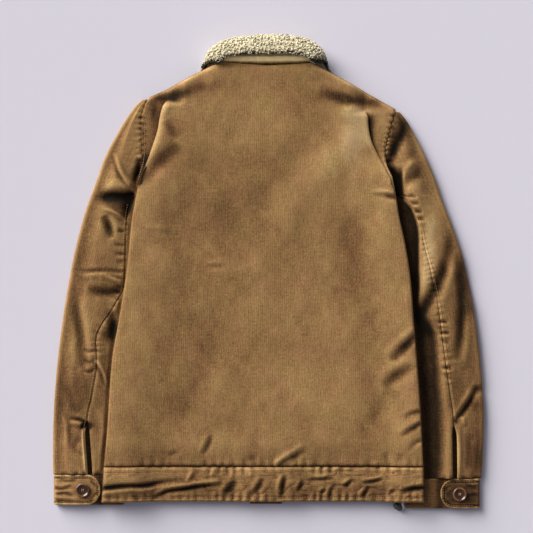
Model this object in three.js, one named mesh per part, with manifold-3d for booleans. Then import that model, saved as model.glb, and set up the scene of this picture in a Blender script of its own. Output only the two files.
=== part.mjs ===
// A corduroy jacket with a curly fleece collar, laid flat on its front with its back up and
// its sleeves folded down beside it, their inner edges tucked under the body.
//
// Millimetres. X runs across the back, Y from the hem to the collar, and Z up from the surface
// that the jacket lies on. The origin is under the middle of the whole jacket. Each panel is
// made of the shell cloth and the lining behind it, so its wall is as thick as the two together.

import * as THREE from "three";
import { mergeVertices } from "three/addons/utils/BufferGeometryUtils.js";
import Module from "manifold-3d";

const wasm = await Module();
wasm.setup();

// Driving sizes

const thick = {
  panel: 8, // corduroy and pile lining of a front or back
  sleeve: 4, // corduroy and padded lining of a sleeve
  cuff: 3,
  band: 6.5, // hem band, folded double over its padding
  placket: 3,
  stand: 6,
  fleece: 9, // collar leaf, with its pile
};
const seam = 0.3; // open space between two pieces that are sewn together
const sleeveGap = 3; // slack between a sleeve's two layers
const tabClearance = 0.2; // extra air under a cuff's tab and its button
const backLoft = { middle: 19.6, nearEdges: 26, hemDrop: 3 }; // heights of the back's upper side
const looseFold = { gap: 2.5, width: 6.5 }; // from the shelf to the fold's foot, and on to its brink
const tabTip = 17; // radius of the tab's rounded end
const hemSeamY = -285;
const hemY = -337;
const neckY = 310;
const frontNeckDrop = 76;
const neck = { left: -66, right: 62 };
const middleX = -3.5; // where the two fronts meet
const placketHalfWidth = 23.5;
const placketHemY = -341;
const placketTopY = 212;
const button = { radius: 10.3, rim: 1.8, height: 3.4, dish: 1.5, hole: 1.2, holeSpacing: 2.4 };

const corduroy = new THREE.MeshStandardMaterial({ color: "#8a6842", roughness: 0.95, metalness: 0 });
const fleece = new THREE.MeshStandardMaterial({ color: "#c7b897", roughness: 1, metalness: 0 });
const horn = new THREE.MeshStandardMaterial({ color: "#4a2c1c", roughness: 0.25, metalness: 0 });
const darkPlastic = new THREE.MeshStandardMaterial({ color: "#3a3c36", roughness: 0.45, metalness: 0 });

const cordStop = {
  radius: 5.2,
  halfLength: 6.5,
  cordRadius: 1.4,
  cordLength: 15,
  turn: 62, // degrees from the line of the cord to the barrel's axis
  tilt: 6,
  at: [191, -345.2, 5.3],
};

// Outlines. side is -1 on the left of the picture and 1 on its right.
// seam is the side seam and, above the underarm, the armhole seam. shelf is the strip that
// lies between the armhole seam and the loose fold of the back beside it.

const bodySide = {
  "-1": [
    { y: -337, seam: -244, shelf: 0 },
    { y: -285, seam: -241, shelf: 0 },
    { y: -224, seam: -236, shelf: 0 },
    { y: -125, seam: -229, shelf: 0 },
    { y: -68, seam: -219, shelf: 0 },
    { y: 10, seam: -207, shelf: 0 },
    { y: 80, seam: -200, shelf: 0 },
    { y: 112, seam: -194, shelf: 0 },
    { y: 140, seam: -190, shelf: 3 },
    { y: 164, seam: -185, shelf: 7 },
    { y: 187, seam: -186, shelf: 16 },
    { y: 209, seam: -187, shelf: 24 },
    { y: 227, seam: -186, shelf: 26 },
    { y: 245, seam: -181, shelf: 26 },
    { y: 258, seam: -175, shelf: 25 },
  ],
  1: [
    { y: -337, seam: 228, shelf: 0 },
    { y: -285, seam: 227, shelf: 0 },
    { y: -186, seam: 222, shelf: 0 },
    { y: -71, seam: 213, shelf: 0 },
    { y: -6, seam: 208, shelf: 0 },
    { y: 50, seam: 199, shelf: 0 },
    { y: 80, seam: 192, shelf: 0 },
    { y: 112, seam: 187, shelf: 0 },
    { y: 139, seam: 181, shelf: 2 },
    { y: 158, seam: 173, shelf: 4 },
    { y: 177, seam: 171, shelf: 12 },
    { y: 195, seam: 175, shelf: 24 },
    { y: 217, seam: 181, shelf: 34 },
    { y: 240, seam: 187, shelf: 40 },
  ],
};

// outer is the folded outer edge of the sleeve, inner the edge that is tucked under the body,
// and elbow the seam that runs down the top of it to the cuff's slit.
const sleeveShape = {
  "-1": [
    { y: 256, outer: -184, inner: -182 },
    { y: 245, outer: -196, inner: -182 },
    { y: 227, outer: -209, inner: -182 },
    { y: 209, outer: -220, inner: -182 },
    { y: 174, outer: -239, inner: -182 },
    { y: 139, outer: -252, inner: -182 },
    { y: 125, outer: -257, inner: -182 },
    { y: 112, outer: -262, elbow: -201, inner: -182 },
    { y: 86, outer: -271, elbow: -207, inner: -183 },
    { y: 33, outer: -285, elbow: -210, inner: -185 },
    { y: -2, outer: -292, elbow: -211, inner: -188 },
    { y: -26, elbow: -214 },
    { y: -48, outer: -300, elbow: -226, inner: -195 },
    { y: -90, outer: -306, elbow: -251, inner: -200 },
    { y: -128, elbow: -252 },
    { y: -143, outer: -312, elbow: -252.5, inner: -206 },
    { y: -181, elbow: -259 },
    { y: -218, outer: -317, elbow: -266, inner: -211 },
    { y: -298, outer: -317.5, elbow: -262, inner: -213 },
    { y: -342, outer: -316, elbow: -262, inner: -212 },
  ],
  1: [
    { y: 239, outer: 191, inner: 176 },
    { y: 227, outer: 201, inner: 176 },
    { y: 209, outer: 212, inner: 176 },
    { y: 192, outer: 221, inner: 176 },
    { y: 174, outer: 230, inner: 176 },
    { y: 139, outer: 245, inner: 176 },
    { y: 125, outer: 250, inner: 175 },
    { y: 112, outer: 254, elbow: 196, inner: 174 },
    { y: 86, outer: 264, elbow: 216, inner: 178 },
    { y: 33, outer: 283, elbow: 230, inner: 183 },
    { y: -2, outer: 292, elbow: 239, inner: 187 },
    { y: -57, outer: 303, elbow: 250, inner: 191 },
    { y: -118, outer: 311, elbow: 258, inner: 195 },
    { y: -179, outer: 316, elbow: 267, inner: 198 },
    { y: -218, outer: 317.5, elbow: 272, inner: 200 },
    { y: -302, outer: 314, elbow: 274, inner: 201 },
    { y: -348, outer: 309, elbow: 274, inner: 201 },
  ],
};
const underarmY = 112;
const gusset = 26; // how far the under piece reaches up past the underarm
const cuffTopY = { "-1": -297, 1: -303 };
const cuffHemY = { "-1": -342, 1: -347 };
const slitTopY = { "-1": -222, 1: -226 };
const slitWidth = 5;
const shoulderY = { "-1": 258, 1: 240 };
const buttonAt = { "-1": [-273, -320], 1: [281, -326] };
const tabEndX = { "-1": -247, 1: 253 };

// The largest folds, each a soft ridge (height above 0) or trough (below 0) along a line.
const bodyFolds = [
  { from: [-160, 262], to: [-108, 283], width: 11, height: -4.5 }, // hollow inside the left shoulder
  { from: [92, 283], to: [152, 258], width: 12, height: -4.5 },
  { from: [-20, 90], to: [150, 190], width: 34, height: 3 }, // broad drag lines across the back
  { from: [-150, 60], to: [-30, 20], width: 34, height: -2.6 },
  { from: [-175, -190], to: [-90, -40], width: 26, height: -2.8 },
  { from: [150, -110], to: [214, -40], width: 10, height: 3.2 }, // slack at the right side
  { from: [160, -125], to: [222, -72], width: 9, height: -4.2 },
  { from: [170, -200], to: [222, -118], width: 11, height: -3.4 },
  { from: [-125, -255], to: [-112, -205], width: 8, height: -2.6 },
  { from: [-50, -284], to: [-8, -258], width: 7, height: -3.2 },
];
const sleeveFolds = {
  "-1": [
    { from: [-262, 112], to: [-198, 118], width: 10, height: -5.5 }, // deep hollow under the cap
    { from: [-246, 96], to: [-205, 74], width: 6, height: 2.6 },
    { from: [-232, 178], to: [-204, 128], width: 4, height: 2.2 },
    { from: [-238, 80], to: [-226, 40], width: 7, height: -3 },
    { from: [-284, -2], to: [-215, -6], width: 7, height: 2 },
    { from: [-280, -34], to: [-226, -40], width: 8, height: -2.6 },
    { from: [-284, -42], to: [-270, -140], width: 8, height: -3.2 },
    { from: [-226, -62], to: [-212, -40], width: 8, height: -3 },
    { from: [-300, -150], to: [-262, -165], width: 8, height: 1.8 },
    { from: [-296, -212], to: [-270, -218], width: 5, height: -3 },
  ],
  1: [
    { from: [200, 205], to: [206, 150], width: 8, height: -4 },
    { from: [222, 130], to: [252, 142], width: 9, height: 2.4 },
    { from: [222, 108], to: [258, 116], width: 8, height: -3 },
    { from: [262, 20], to: [226, -66], width: 9, height: -4.2 },
    { from: [288, -4], to: [272, -128], width: 10, height: -4.4 },
    { from: [306, -166], to: [276, -214], width: 8, height: -4 },
    { from: [250, -60], to: [266, -160], width: 7, height: -2 },
  ],
};
const bandFolds = [
  { from: [-240, -311], to: [-160, -307], width: 4, height: -3.4 },
  { from: [-168, -325], to: [-96, -305], width: 5, height: -2.8 },
  { from: [-84, -318], to: [-60, -300], width: 5, height: -2.4 },
  { from: [-30, -326], to: [-8, -300], width: 5, height: -3 },
  { from: [4, -334], to: [14, -298], width: 4, height: -2.8 },
  { from: [60, -322], to: [140, -300], width: 6, height: -2.4 },
  { from: [186, -322], to: [226, -314], width: 5, height: -3.2 },
];

// Small helpers

const mix = (a, b, t) => a + (b - a) * t;
const clamp = (x, low, high) => Math.min(high, Math.max(low, x));

// 0 at from, 1 at to and an even curve between them, whichever of the two is larger.
function ramp(from, to, x) {
  const t = clamp((x - from) / (to - from), 0, 1);
  return t * t * (3 - 2 * t);
}

// One column of a table, read at any y as a smooth curve through its rows.
function column(table, name) {
  const rows = table.filter((row) => name in row).sort((a, b) => a.y - b.y);
  const slope = (i) => {
    const low = rows[Math.max(i - 1, 0)];
    const high = rows[Math.min(i + 1, rows.length - 1)];
    return (high[name] - low[name]) / (high.y - low.y);
  };
  return (y) => {
    const at = clamp(y, rows[0].y, rows[rows.length - 1].y);
    let i = 0;
    while (i < rows.length - 2 && rows[i + 1].y < at) i++;
    const span = rows[i + 1].y - rows[i].y;
    const t = (at - rows[i].y) / span;
    const bend = t * (1 - t);
    const straight = mix(rows[i][name], rows[i + 1][name], t);
    const chord = rows[i + 1][name] - rows[i][name];
    return straight + bend * ((1 - t) * (slope(i) * span - chord) - t * (slope(i + 1) * span - chord));
  };
}

// Evenly spaced numbers from 0 to 1, with a few more close to the two ends for a rounded rim.
function spaced(count, rim = []) {
  const even = Array.from({ length: count + 1 }, (_, i) => i / count);
  return [...even, ...rim, ...rim.map((t) => 1 - t)].sort((a, b) => a - b);
}

// How far the folds raise or lower the cloth at a point.
function foldHeight(folds, x, y) {
  let sum = 0;
  for (const { from, to, width, height } of folds) {
    const dx = to[0] - from[0];
    const dy = to[1] - from[1];
    const length = Math.hypot(dx, dy);
    const along = ((x - from[0]) * dx + (y - from[1]) * dy) / length;
    const across = ((x - from[0]) * dy - (y - from[1]) * dx) / length;
    const past = Math.max(0, -along, along - length);
    sum += height * Math.exp(-(across ** 2) / width ** 2 - past ** 2 / (1.5 * width) ** 2);
  }
  return sum;
}

// A closed wall between two grids of points, its face and its back.
function wall(name, material, us, vs, face, back) {
  const points = [];
  for (const side of [face, back]) {
    for (const v of vs) {
      for (const u of us) points.push(...side(u, v));
    }
  }
  const wide = us.length;
  const layer = wide * vs.length;
  const at = (i, j, k) => k * layer + j * wide + i;
  const index = [];
  const quad = (a, b, c, d) => index.push(a, b, c, a, c, d);
  for (let j = 0; j < vs.length - 1; j++) {
    for (let i = 0; i < wide - 1; i++) {
      quad(at(i, j, 0), at(i + 1, j, 0), at(i + 1, j + 1, 0), at(i, j + 1, 0));
      quad(at(i, j, 1), at(i, j + 1, 1), at(i + 1, j + 1, 1), at(i + 1, j, 1));
    }
  }
  const end = vs.length - 1;
  for (let i = 0; i < wide - 1; i++) {
    quad(at(i, 0, 0), at(i, 0, 1), at(i + 1, 0, 1), at(i + 1, 0, 0));
    quad(at(i + 1, end, 0), at(i + 1, end, 1), at(i, end, 1), at(i, end, 0));
  }
  for (let j = 0; j < vs.length - 1; j++) {
    quad(at(0, j + 1, 0), at(0, j + 1, 1), at(0, j, 1), at(0, j, 0));
    quad(at(wide - 1, j, 0), at(wide - 1, j, 1), at(wide - 1, j + 1, 1), at(wide - 1, j + 1, 0));
  }
  return solid(name, material, new Float32Array(points), index);
}

// A mesh whose faces point out, whichever way round its triangles were listed.
function solid(name, material, points, index) {
  let volume = 0;
  const corner = (i) => new THREE.Vector3().fromArray(points, index[i] * 3);
  for (let i = 0; i < index.length; i += 3) {
    volume += corner(i).dot(corner(i + 1).cross(corner(i + 2)));
  }
  const outward = volume > 0 ? index : index.map((_, i) => index[i - (i % 3) + 2 - (i % 3)]);
  const geometry = new THREE.BufferGeometry();
  geometry.setAttribute("position", new THREE.BufferAttribute(points, 3));
  geometry.setIndex(outward);
  geometry.computeVertexNormals();
  const mesh = new THREE.Mesh(geometry, material);
  mesh.name = name;
  return mesh;
}

function toManifold(geometry) {
  const bare = geometry.clone();
  bare.deleteAttribute("normal");
  bare.deleteAttribute("uv");
  const merged = mergeVertices(bare, 1e-4);
  return new wasm.Manifold(
    new wasm.Mesh({
      numProp: 3,
      vertProperties: merged.attributes.position.array,
      triVerts: new Uint32Array(merged.index.array),
    }),
  );
}

function fromManifold(name, material, shape) {
  const { vertProperties, triVerts } = shape.getMesh();
  return solid(name, material, vertProperties, [...triVerts]);
}

// Heights of the layers, from the surface up

const pressed = 2 * thick.sleeve + 0.8; // a sleeve's height where the body lies on it
const bodySeam = { "-1": column(bodySide["-1"], "seam"), 1: column(bodySide[1], "seam") };
const bodyShelf = { "-1": column(bodySide["-1"], "shelf"), 1: column(bodySide[1], "shelf") };
const sleeveOuter = { "-1": column(sleeveShape["-1"], "outer"), 1: column(sleeveShape[1], "outer") };
const sleeveElbow = { "-1": column(sleeveShape["-1"], "elbow"), 1: column(sleeveShape[1], "elbow") };
const sleeveInner = { "-1": column(sleeveShape["-1"], "inner"), 1: column(sleeveShape[1], "inner") };

// What the fronts lie on: the surface, the tucked-in sleeves, the collar's leaves, the placket.
function bed(x, y) {
  const side = x < middleX ? -1 : 1;
  const inside = side * (sleeveInner[side](y) - x); // how far inside the sleeve's inner edge
  const overSleeve = (pressed + 0.6) * ramp(50, 3, inside) * ramp(185, underarmY + gusset - 4, y);
  const overCollar = (thick.fleece + 1.4) * ramp(150, 178, y) * ramp(142, 112, Math.abs(x));
  const pastPlacket = Math.abs(x - middleX) - placketHalfWidth;
  const overPlacket = (thick.placket + seam) * ramp(34, 8, pastPlacket);
  return Math.max(overSleeve, overCollar, overPlacket);
}

// The upper side of the back: lofty, and highest where sleeves or collar lie beneath it.
function backTop(x, y) {
  const side = x < middleX ? -1 : 1;
  const nearSide = ramp(90, 8, side * (bodySeam[side](y) - x)) * ramp(262, 236, y);
  const nearNeck = ramp(60, 215, y) * ramp(185, 110, Math.abs(x));
  const nearHem = ramp(hemSeamY + 40, hemSeamY, y);
  const swell = 1 - (1 - nearSide) * (1 - nearNeck);
  const level = mix(backLoft.middle, backLoft.nearEdges, swell) - backLoft.hemDrop * nearHem;
  const floor = bed(x, y) + 2 * thick.panel + seam - 3;
  return Math.max(level + foldHeight(bodyFolds, x, y), floor);
}

// Body panels. A column is a line up the panel: x(y) is its place and top its upper end.

function panelPlace(columns, bottomY) {
  return (u, v) => {
    let i = 0;
    while (i < columns.length - 2 && columns[i + 1].u < u) i++;
    const t = (u - columns[i].u) / (columns[i + 1].u - columns[i].u);
    const [a, b] = [columns[i], columns[i + 1]].map((c) => {
      const y = mix(bottomY, c.top, v);
      return [c.x(y), y];
    });
    return [mix(a[0], b[0], t), mix(a[1], b[1], t)];
  };
}

// A straight column from x at the hem seam to topX at its upper end.
const straight = (u, x, topX, top) => {
  const share = (y) => (y - hemSeamY) / (top - hemSeamY);
  return { u, top, x: (y) => mix(x, topX, share(y)) };
};

// Thickness left at a panel's rim: rounded off over the last few millimetres.
function rounding(distance, radius) {
  const t = clamp(distance / radius, 0, 1);
  return 0.3 + 0.7 * Math.sqrt(1 - (1 - t) ** 2);
}

// Both layers of the body hang from the same columns, so that they lie on each other evenly.
// bodyColumns runs from the left side seam, by the middle, to the right side seam.
const foot = (side) => (y) => bodySeam[side](y) - side * (bodyShelf[side](y) + looseFold.gap);
const brink = (side) => (y) => foot(side)(y) - side * looseFold.width;
const panelLength = neckY - hemSeamY;
const bodyColumns = [
  { u: 0, x: bodySeam[-1], top: shoulderY[-1] },
  { u: 0.06, x: foot(-1), top: 270 },
  { u: 0.12, x: brink(-1), top: 274 },
  straight(0.3, -115, neck.left, 313),
  straight(0.5, middleX, middleX, neckY - 1),
  straight(0.7, 112, neck.right, 313),
  { u: 0.88, x: brink(1), top: 268 },
  { u: 0.94, x: foot(1), top: 264 },
  { u: 1, x: bodySeam[1], top: shoulderY[1] },
];
const bodyPlace = panelPlace(bodyColumns, hemSeamY + seam);
const halfAcross = [
  0, 0.02, 0.04, 0.06, 0.08, 0.1, 0.12, 0.15, 0.19, 0.23, 0.27, 0.31, 0.35, 0.4, 0.45, 0.5,
];
const bodyRows = spaced(19, [0.01]);
const backUnder = (x, y) => bed(x, y) + thick.panel + seam;

function backFace(u, v) {
  const [x, y] = bodyPlace(u, v);
  const side = u < 0.5 ? -1 : 1;
  const outwards = Math.min(u, 1 - u); // 0 at the seam, 0.06 at the foot, 0.12 at the brink
  const under = backUnder(x, y);
  const shelfZ = under + thick.panel;
  const inArmhole = ramp(underarmY + 4, underarmY + 30, y);
  const seamZ = mix(under + 0.3 * thick.panel, shelfZ, inArmhole);
  const fold = ramp(shoulderY[side] + 4, shoulderY[side] - 26, y);
  const lofty = backTop(x, y);
  const ridgeZ = mix(Math.min(shelfZ, lofty), lofty, Math.max(fold, ramp(0.12, 0.2, outwards)));
  const footZ = mix(mix(seamZ, ridgeZ, 0.62), shelfZ - 0.8 * fold, inArmhole);
  let z = ridgeZ;
  if (outwards < 0.06) z = mix(seamZ, footZ, outwards / 0.06);
  else if (outwards < 0.12) z = mix(footZ, ridgeZ, Math.sin(((outwards - 0.06) / 0.06) * (Math.PI / 2)));
  const rim = Math.min((1 - v) * panelLength, v * panelLength + 2);
  return [x, y, under + (z - under) * rounding(rim, 10)];
}

function makeBack() {
  const us = [...halfAcross, ...halfAcross.slice(0, -1).map((u) => 1 - u).reverse()];
  return wall("back_panel", corduroy, us, bodyRows, backFace, (u, v) => {
    const [x, y] = bodyPlace(u, v);
    return [x, y, backUnder(x, y)];
  });
}

// A front: the lower layer on one side of the middle, with the neckline cut out of its top.
function makeFront(side) {
  const us = side < 0 ? halfAcross : halfAcross.map((u) => 1 - u).reverse();
  const place = (u, v) => {
    const [x, y] = bodyPlace(u, v);
    return [u === 0.5 ? x + side * seam : x, y];
  };
  const upper = (u, v) => {
    const [x, y] = place(u, v);
    return [x, y, bed(x, y) + thick.panel];
  };
  const lower = (u, v) => {
    const [x, y] = place(u, v);
    const edge = u === 0 || u === 1 ? 0.4 * thick.panel * ramp(underarmY + 30, underarmY, y) : 0;
    return [x, y, bed(x, y) + edge];
  };
  const name = side < 0 ? "front_left" : "front_right";
  const panel = wall(name, corduroy, us, bodyRows, upper, lower);
  const scoop = new THREE.CylinderGeometry(1, 1, 60, 40).rotateX(Math.PI / 2);
  const halfNeck = (neck.right - neck.left) / 2;
  scoop.scale(halfNeck + 2, frontNeckDrop, 1).translate((neck.left + neck.right) / 2, neckY + 2, 10);
  return fromManifold(name, corduroy, toManifold(panel.geometry).subtract(toManifold(scoop)));
}

function makePlacket() {
  const place = (u, v) => [middleX + (u - 0.5) * 2 * placketHalfWidth, mix(placketHemY, placketTopY, v)];
  const upper = (u, v) => [...place(u, v), (u === 0 || u === 1 ? 0.5 : 1) * thick.placket];
  const lower = (u, v) => [...place(u, v), 0];
  return wall("front_placket", corduroy, [0, 0.08, 0.5, 0.92, 1], spaced(12, [0.01]), upper, lower);
}

// Hem band: one piece across the back and one on each front.

const bandAcross = spaced(28, [0.008]);
const bandRows = spaced(5, [0.05]);
const bandOverhang = 1; // how far the band stands out past the side seam
const bandHeight = hemSeamY - hemY;
const bandLength = bodySeam[1](hemY) - bodySeam[-1](hemY);

function bandPlace(u, v) {
  const y = mix(hemY, hemSeamY - seam, v);
  const left = bodySeam[-1](y) - bandOverhang;
  const right = bodySeam[1](y) + bandOverhang;
  return [u < 0.5 ? mix(left, middleX, 2 * u) : mix(middleX, right, 2 * u - 1), y];
}

function makeBackBand() {
  const under = (x, y) => bed(x, y) + thick.band + seam;
  const top = (u, v) => {
    const [x, y] = bandPlace(u, v);
    const ends = Math.min(u, 1 - u) * bandLength + 1;
    const rim = Math.min(v * bandHeight, (1 - v) * bandHeight + 1.5, ends);
    const lift = (thick.band + 1.5) * rounding(rim, 7) + foldHeight(bandFolds, x, y);
    return [x, y, under(x, y) + Math.max(lift, 1.2)];
  };
  return wall("hem_band_back", corduroy, bandAcross, bandRows, top, (u, v) => {
    const [x, y] = bandPlace(u, v);
    return [x, y, under(x, y)];
  });
}

function makeFrontBand(side) {
  const us = bandAcross.filter((u) => side * (u - 0.5) >= 0);
  const place = (u, v) => {
    const [x, y] = bandPlace(u, v);
    return [u === 0.5 ? x + side * seam : x, y];
  };
  const name = side < 0 ? "hem_band_front_left" : "hem_band_front_right";
  const top = (u, v) => {
    const [x, y] = place(u, v);
    return [x, y, bed(x, y) + thick.band];
  };
  return wall(name, corduroy, us, bandRows, top, (u, v) => {
    const [x, y] = place(u, v);
    return [x, y, bed(x, y) + (v === 0 ? 0.4 * thick.band : 0)];
  });
}

// Sleeves. A section at one y is a flattened tube. w is the distance in from its outer edge.

const tubeHeight = 2 * thick.sleeve + sleeveGap;
const sleeveCrown = { "-1": 4.5, 1: 7 }; // how much higher the slack cloth stands in the middle

// On the right the sleeve lies low between the side seam and its own elbow seam, in the shade.
const lowStripRows = [
  { y: 124, end: 194, rise: 12 },
  { y: 106, end: 197, rise: 11 },
  { y: 92, end: 207, rise: 10 },
  { y: 64, end: 215, rise: 10 },
  { y: 4, end: 216, rise: 10 },
  { y: -45, end: 216, rise: 10 },
  { y: -62, end: 219, rise: 11 },
  { y: -76, end: 229, rise: 13 },
  { y: -92, end: 237, rise: 15 },
  { y: -140, end: 242, rise: 17 },
  { y: -200, end: 245, rise: 20 },
  { y: -250, end: 246, rise: 22 },
  { y: -303, end: 244, rise: 22 },
];
const lowEnd = column(lowStripRows, "end");
const lowRise = column(lowStripRows, "rise");

function lowStrip(y) {
  return Math.max(lowEnd(y) - bodySeam[1](y), 8);
}

function sleeveTop(side, x, y) {
  const outer = sleeveOuter[side](y);
  const edge = bodySeam[side](y);
  const w = side * (outer - x);
  const open = Math.max(8, side * (outer - edge)); // the width that isn't under the body
  const crown = sleeveCrown[side] * Math.sin(Math.PI * clamp(w / open, 0, 1)) ** 0.8;
  const belowArm = ramp(underarmY + gusset + 20, underarmY + gusset, y);
  const toArmhole = ramp(38, 0, open - w) * (1 - belowArm);
  const low = side < 0 ? 8 : lowStrip(y);
  const rise = side < 0 ? 14 : lowRise(y);
  const underBody = ramp(low + rise, low, open - w) * belowArm;
  const free = tubeHeight + crown + foldHeight(sleeveFolds[side], x, y) * ramp(0, 12, w);
  return mix(mix(free, 2 * thick.panel + seam, toArmhole), pressed, underBody);
}

// A point on a sleeve's section: down the top layer, round an edge, or along the lower layer.
// edge is the x of the rolled edge, out is the way that it faces and inset the depth in the wall.
function tubePoint(side, edge, out, leg, t, from, y, inset) {
  const rollTop = sleeveTop(side, edge - out * 6, y);
  const radius = Math.min(rollTop, tubeHeight) / 2;
  const reach = edge - out * radius;
  if (leg === "top") {
    const x = mix(from, reach, t);
    const top = mix(sleeveTop(side, x, y), 2 * radius, ramp(0.8, 1, t));
    const lining = Math.min(top - thick.sleeve, thick.sleeve + sleeveGap);
    return [x, y, inset ? Math.max(lining, thick.sleeve + 0.4) : top];
  }
  if (leg === "roll") {
    const r = inset ? Math.max(radius - thick.sleeve, 0.35) : radius;
    const angle = Math.PI * (0.5 - t);
    return [reach + out * r * Math.cos(angle), y, radius + r * Math.sin(angle)];
  }
  return [mix(reach, from, t), y, inset ? thick.sleeve : 0];
}

// Steps round a section: along the top, round the edge and back along the lower layer.
function girth(top, roll, bottom) {
  const steps = (leg, n, first) => Array.from({ length: n + 1 - first }, (_, i) => [leg, (i + first) / n]);
  return [...steps("top", top, 0), ...steps("roll", roll, 1), ...steps("bottom", bottom, 1)];
}

function sweepSleeve(name, side, ys, steps, point) {
  const us = steps.map((_, i) => i);
  const skin = (inset) => (u, v) => point(...steps[u], ys[v], inset);
  return wall(name, corduroy, us, ys.map((_, j) => j), skin(false), skin(true));
}

// The seam on top of the sleeve: the armhole seam and, from the underarm down, the elbow seam.
const topSeam = (side, y) => (y > underarmY ? bodySeam[side](y) : sleeveElbow[side](y));

// Half the slit's width, taken off each piece where the elbow seam is left open.
const slit = (side, y) => (slitWidth / 2) * ramp(slitTopY[side] + 6, slitTopY[side] - 14, y);
const frontSeam = (side, y) => mix(sleeveOuter[side](y), sleeveInner[side](y), 0.6);

// The sleeve's rows are at the same heights as the body's, so that the armhole seams match.
function sleeveRows(side, top) {
  const level = bodyRows.map((v) => mix(hemSeamY + seam, shoulderY[side], v));
  return [...level.filter((y) => y < top).reverse(), cuffTopY[side] + seam];
}

function makeUpperSleeve(side) {
  const ys = sleeveRows(side, shoulderY[side] - 2);
  const point = (leg, t, y, inset) => {
    const elbow = topSeam(side, y) + side * (seam + slit(side, y));
    const below = y < underarmY ? 1 : 0;
    const start = leg === "top" ? elbow : mix(elbow, frontSeam(side, y), below);
    return tubePoint(side, sleeveOuter[side](y), side, leg, t, start, y, inset);
  };
  return sweepSleeve(`sleeve_${side < 0 ? "left" : "right"}_upper`, side, ys, girth(6, 4, 3), point);
}

function makeUnderSleeve(side) {
  const ys = sleeveRows(side, underarmY + gusset);
  const point = (leg, t, y, inset) => {
    const joint = leg === "top" || y > underarmY ? topSeam(side, y) : frontSeam(side, y);
    const start = joint - side * (seam + (leg === "top" ? slit(side, y) : 0));
    const edge = sleeveInner[side](y);
    return tubePoint(side, edge, -side, leg, t, start, y, inset);
  };
  return sweepSleeve(`sleeve_${side < 0 ? "left" : "right"}_under`, side, ys, girth(4, 4, 3), point);
}

// Cuffs. The band runs from the rounded tab on top, round the outer edge, under the sleeve,
// round the inner edge and back to where it ends beneath the tab.

function makeCuff(side) {
  const top = cuffTopY[side] - seam;
  const bottom = cuffHemY[side];
  const outer = sleeveOuter[side](mix(top, bottom, 0.5)) - side * 0.6;
  const inner = sleeveInner[side](bottom) + side * 0.8;
  const slitX = sleeveElbow[side](top);
  const low = thick.cuff + sleeveGap; // underside of the layer below the tab
  const flat = low + thick.cuff;
  const tab = flat + seam + tabClearance;
  const radius = { outer: (tab + 1) / 2, inner: flat / 2 };
  const route = [];
  const add = (x, z, nx, nz) => route.push({ x, z, nx, nz });
  const outerX = outer - side * radius.outer;
  const innerX = inner + side * radius.inner;
  const rise = thick.cuff / 2;
  for (const t of [0, 0.06, 0.15, 0.3, 0.5, 0.7, 0.85, 1]) {
    const x = mix(tabEndX[side], outerX, t);
    const z = mix(tab + rise, 2 * radius.outer - rise, ramp(0.55, 1, t));
    add(x, z, 0, 1);
  }
  for (const t of [0.2, 0.4, 0.6, 0.8, 1]) {
    const angle = Math.PI * (0.5 - t);
    const [c, s] = [Math.cos(angle), Math.sin(angle)];
    add(outerX + side * (radius.outer - rise) * c, radius.outer + (radius.outer - rise) * s, side * c, s);
  }
  for (const t of [0.25, 0.5, 0.75, 1]) add(mix(outerX, innerX, t), rise, 0, -1);
  for (const t of [0.25, 0.5, 0.75, 1]) {
    const angle = Math.PI * (t - 0.5);
    const [c, s] = [Math.cos(angle), Math.sin(angle)];
    add(innerX - side * (radius.inner - rise) * c, radius.inner + (radius.inner - rise) * s, -side * c, s);
  }
  for (const t of [0.3, 0.6, 1]) add(mix(innerX, slitX + side * 14, t), flat - rise, 0, 1);

  const half = (top - bottom) / 2;
  const middle = (top + bottom) / 2;
  const skin = (sign) => (u, v) => {
    const p = route[u];
    const fromTip = Math.abs(p.x - tabEndX[side]);
    const onTab = u < 5 ? Math.sqrt(1 - (1 - clamp(fromTip / tabTip, 0.03, 1)) ** 2) : 1;
    const rim = v === 0 || v === 1 ? 0.5 : 1;
    const depth = sign * rise * rim;
    return [p.x + p.nx * depth, middle + (v * 2 - 1) * half * onTab, p.z + p.nz * depth];
  };
  const name = side < 0 ? "cuff_left" : "cuff_right";
  return wall(name, corduroy, route.map((_, i) => i), [0, 0.04, 0.35, 0.65, 0.96, 1], skin(1), skin(-1));
}

// A dished button with a raised rim and four holes.
function makeButton(side) {
  const { radius, rim, height, dish, hole, holeSpacing } = button;
  const profile = [
    [0, 0],
    [radius - 2, 0],
    [radius - 0.4, 1],
    [radius, 2],
    [radius - 0.5, height],
    [radius - rim, height],
    [radius - rim - 1, height - dish],
    [0, height - dish],
  ].map(([r, z]) => new THREE.Vector2(r, z));
  let shape = toManifold(new THREE.LatheGeometry(profile, 20).rotateX(Math.PI / 2));
  for (const angle of [45, 135, 225, 315]) {
    const a = THREE.MathUtils.degToRad(angle);
    const drill = new THREE.CylinderGeometry(hole, hole, 3 * height, 6).rotateX(Math.PI / 2);
    drill.translate(holeSpacing * Math.cos(a), holeSpacing * Math.sin(a), 0);
    shape = shape.subtract(toManifold(drill));
  }
  const mesh = fromManifold(side < 0 ? "button_left" : "button_right", horn, shape);
  const tabTop = 3 * thick.cuff + sleeveGap + seam + tabClearance;
  mesh.position.set(buttonAt[side][0], buttonAt[side][1], tabTop + seam);
  return mesh;
}

// Collar. The stand rises from the back neck and rolls over into the fleece leaf, whose free
// edge hangs clear above the neck seam. At each side the leaf turns under the shoulder and lies
// on the surface beneath the front, out to the collar's point.

// The stand's middle line, from the neck seam to the roll, over the back neck.
const standRows = [
  { v: 0, y: neckY + 1.5, z: 21.5 },
  { v: 0.5, y: neckY + 15.5, z: 16 },
  { v: 1, y: neckY + 18, z: 13.4 },
];

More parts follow.
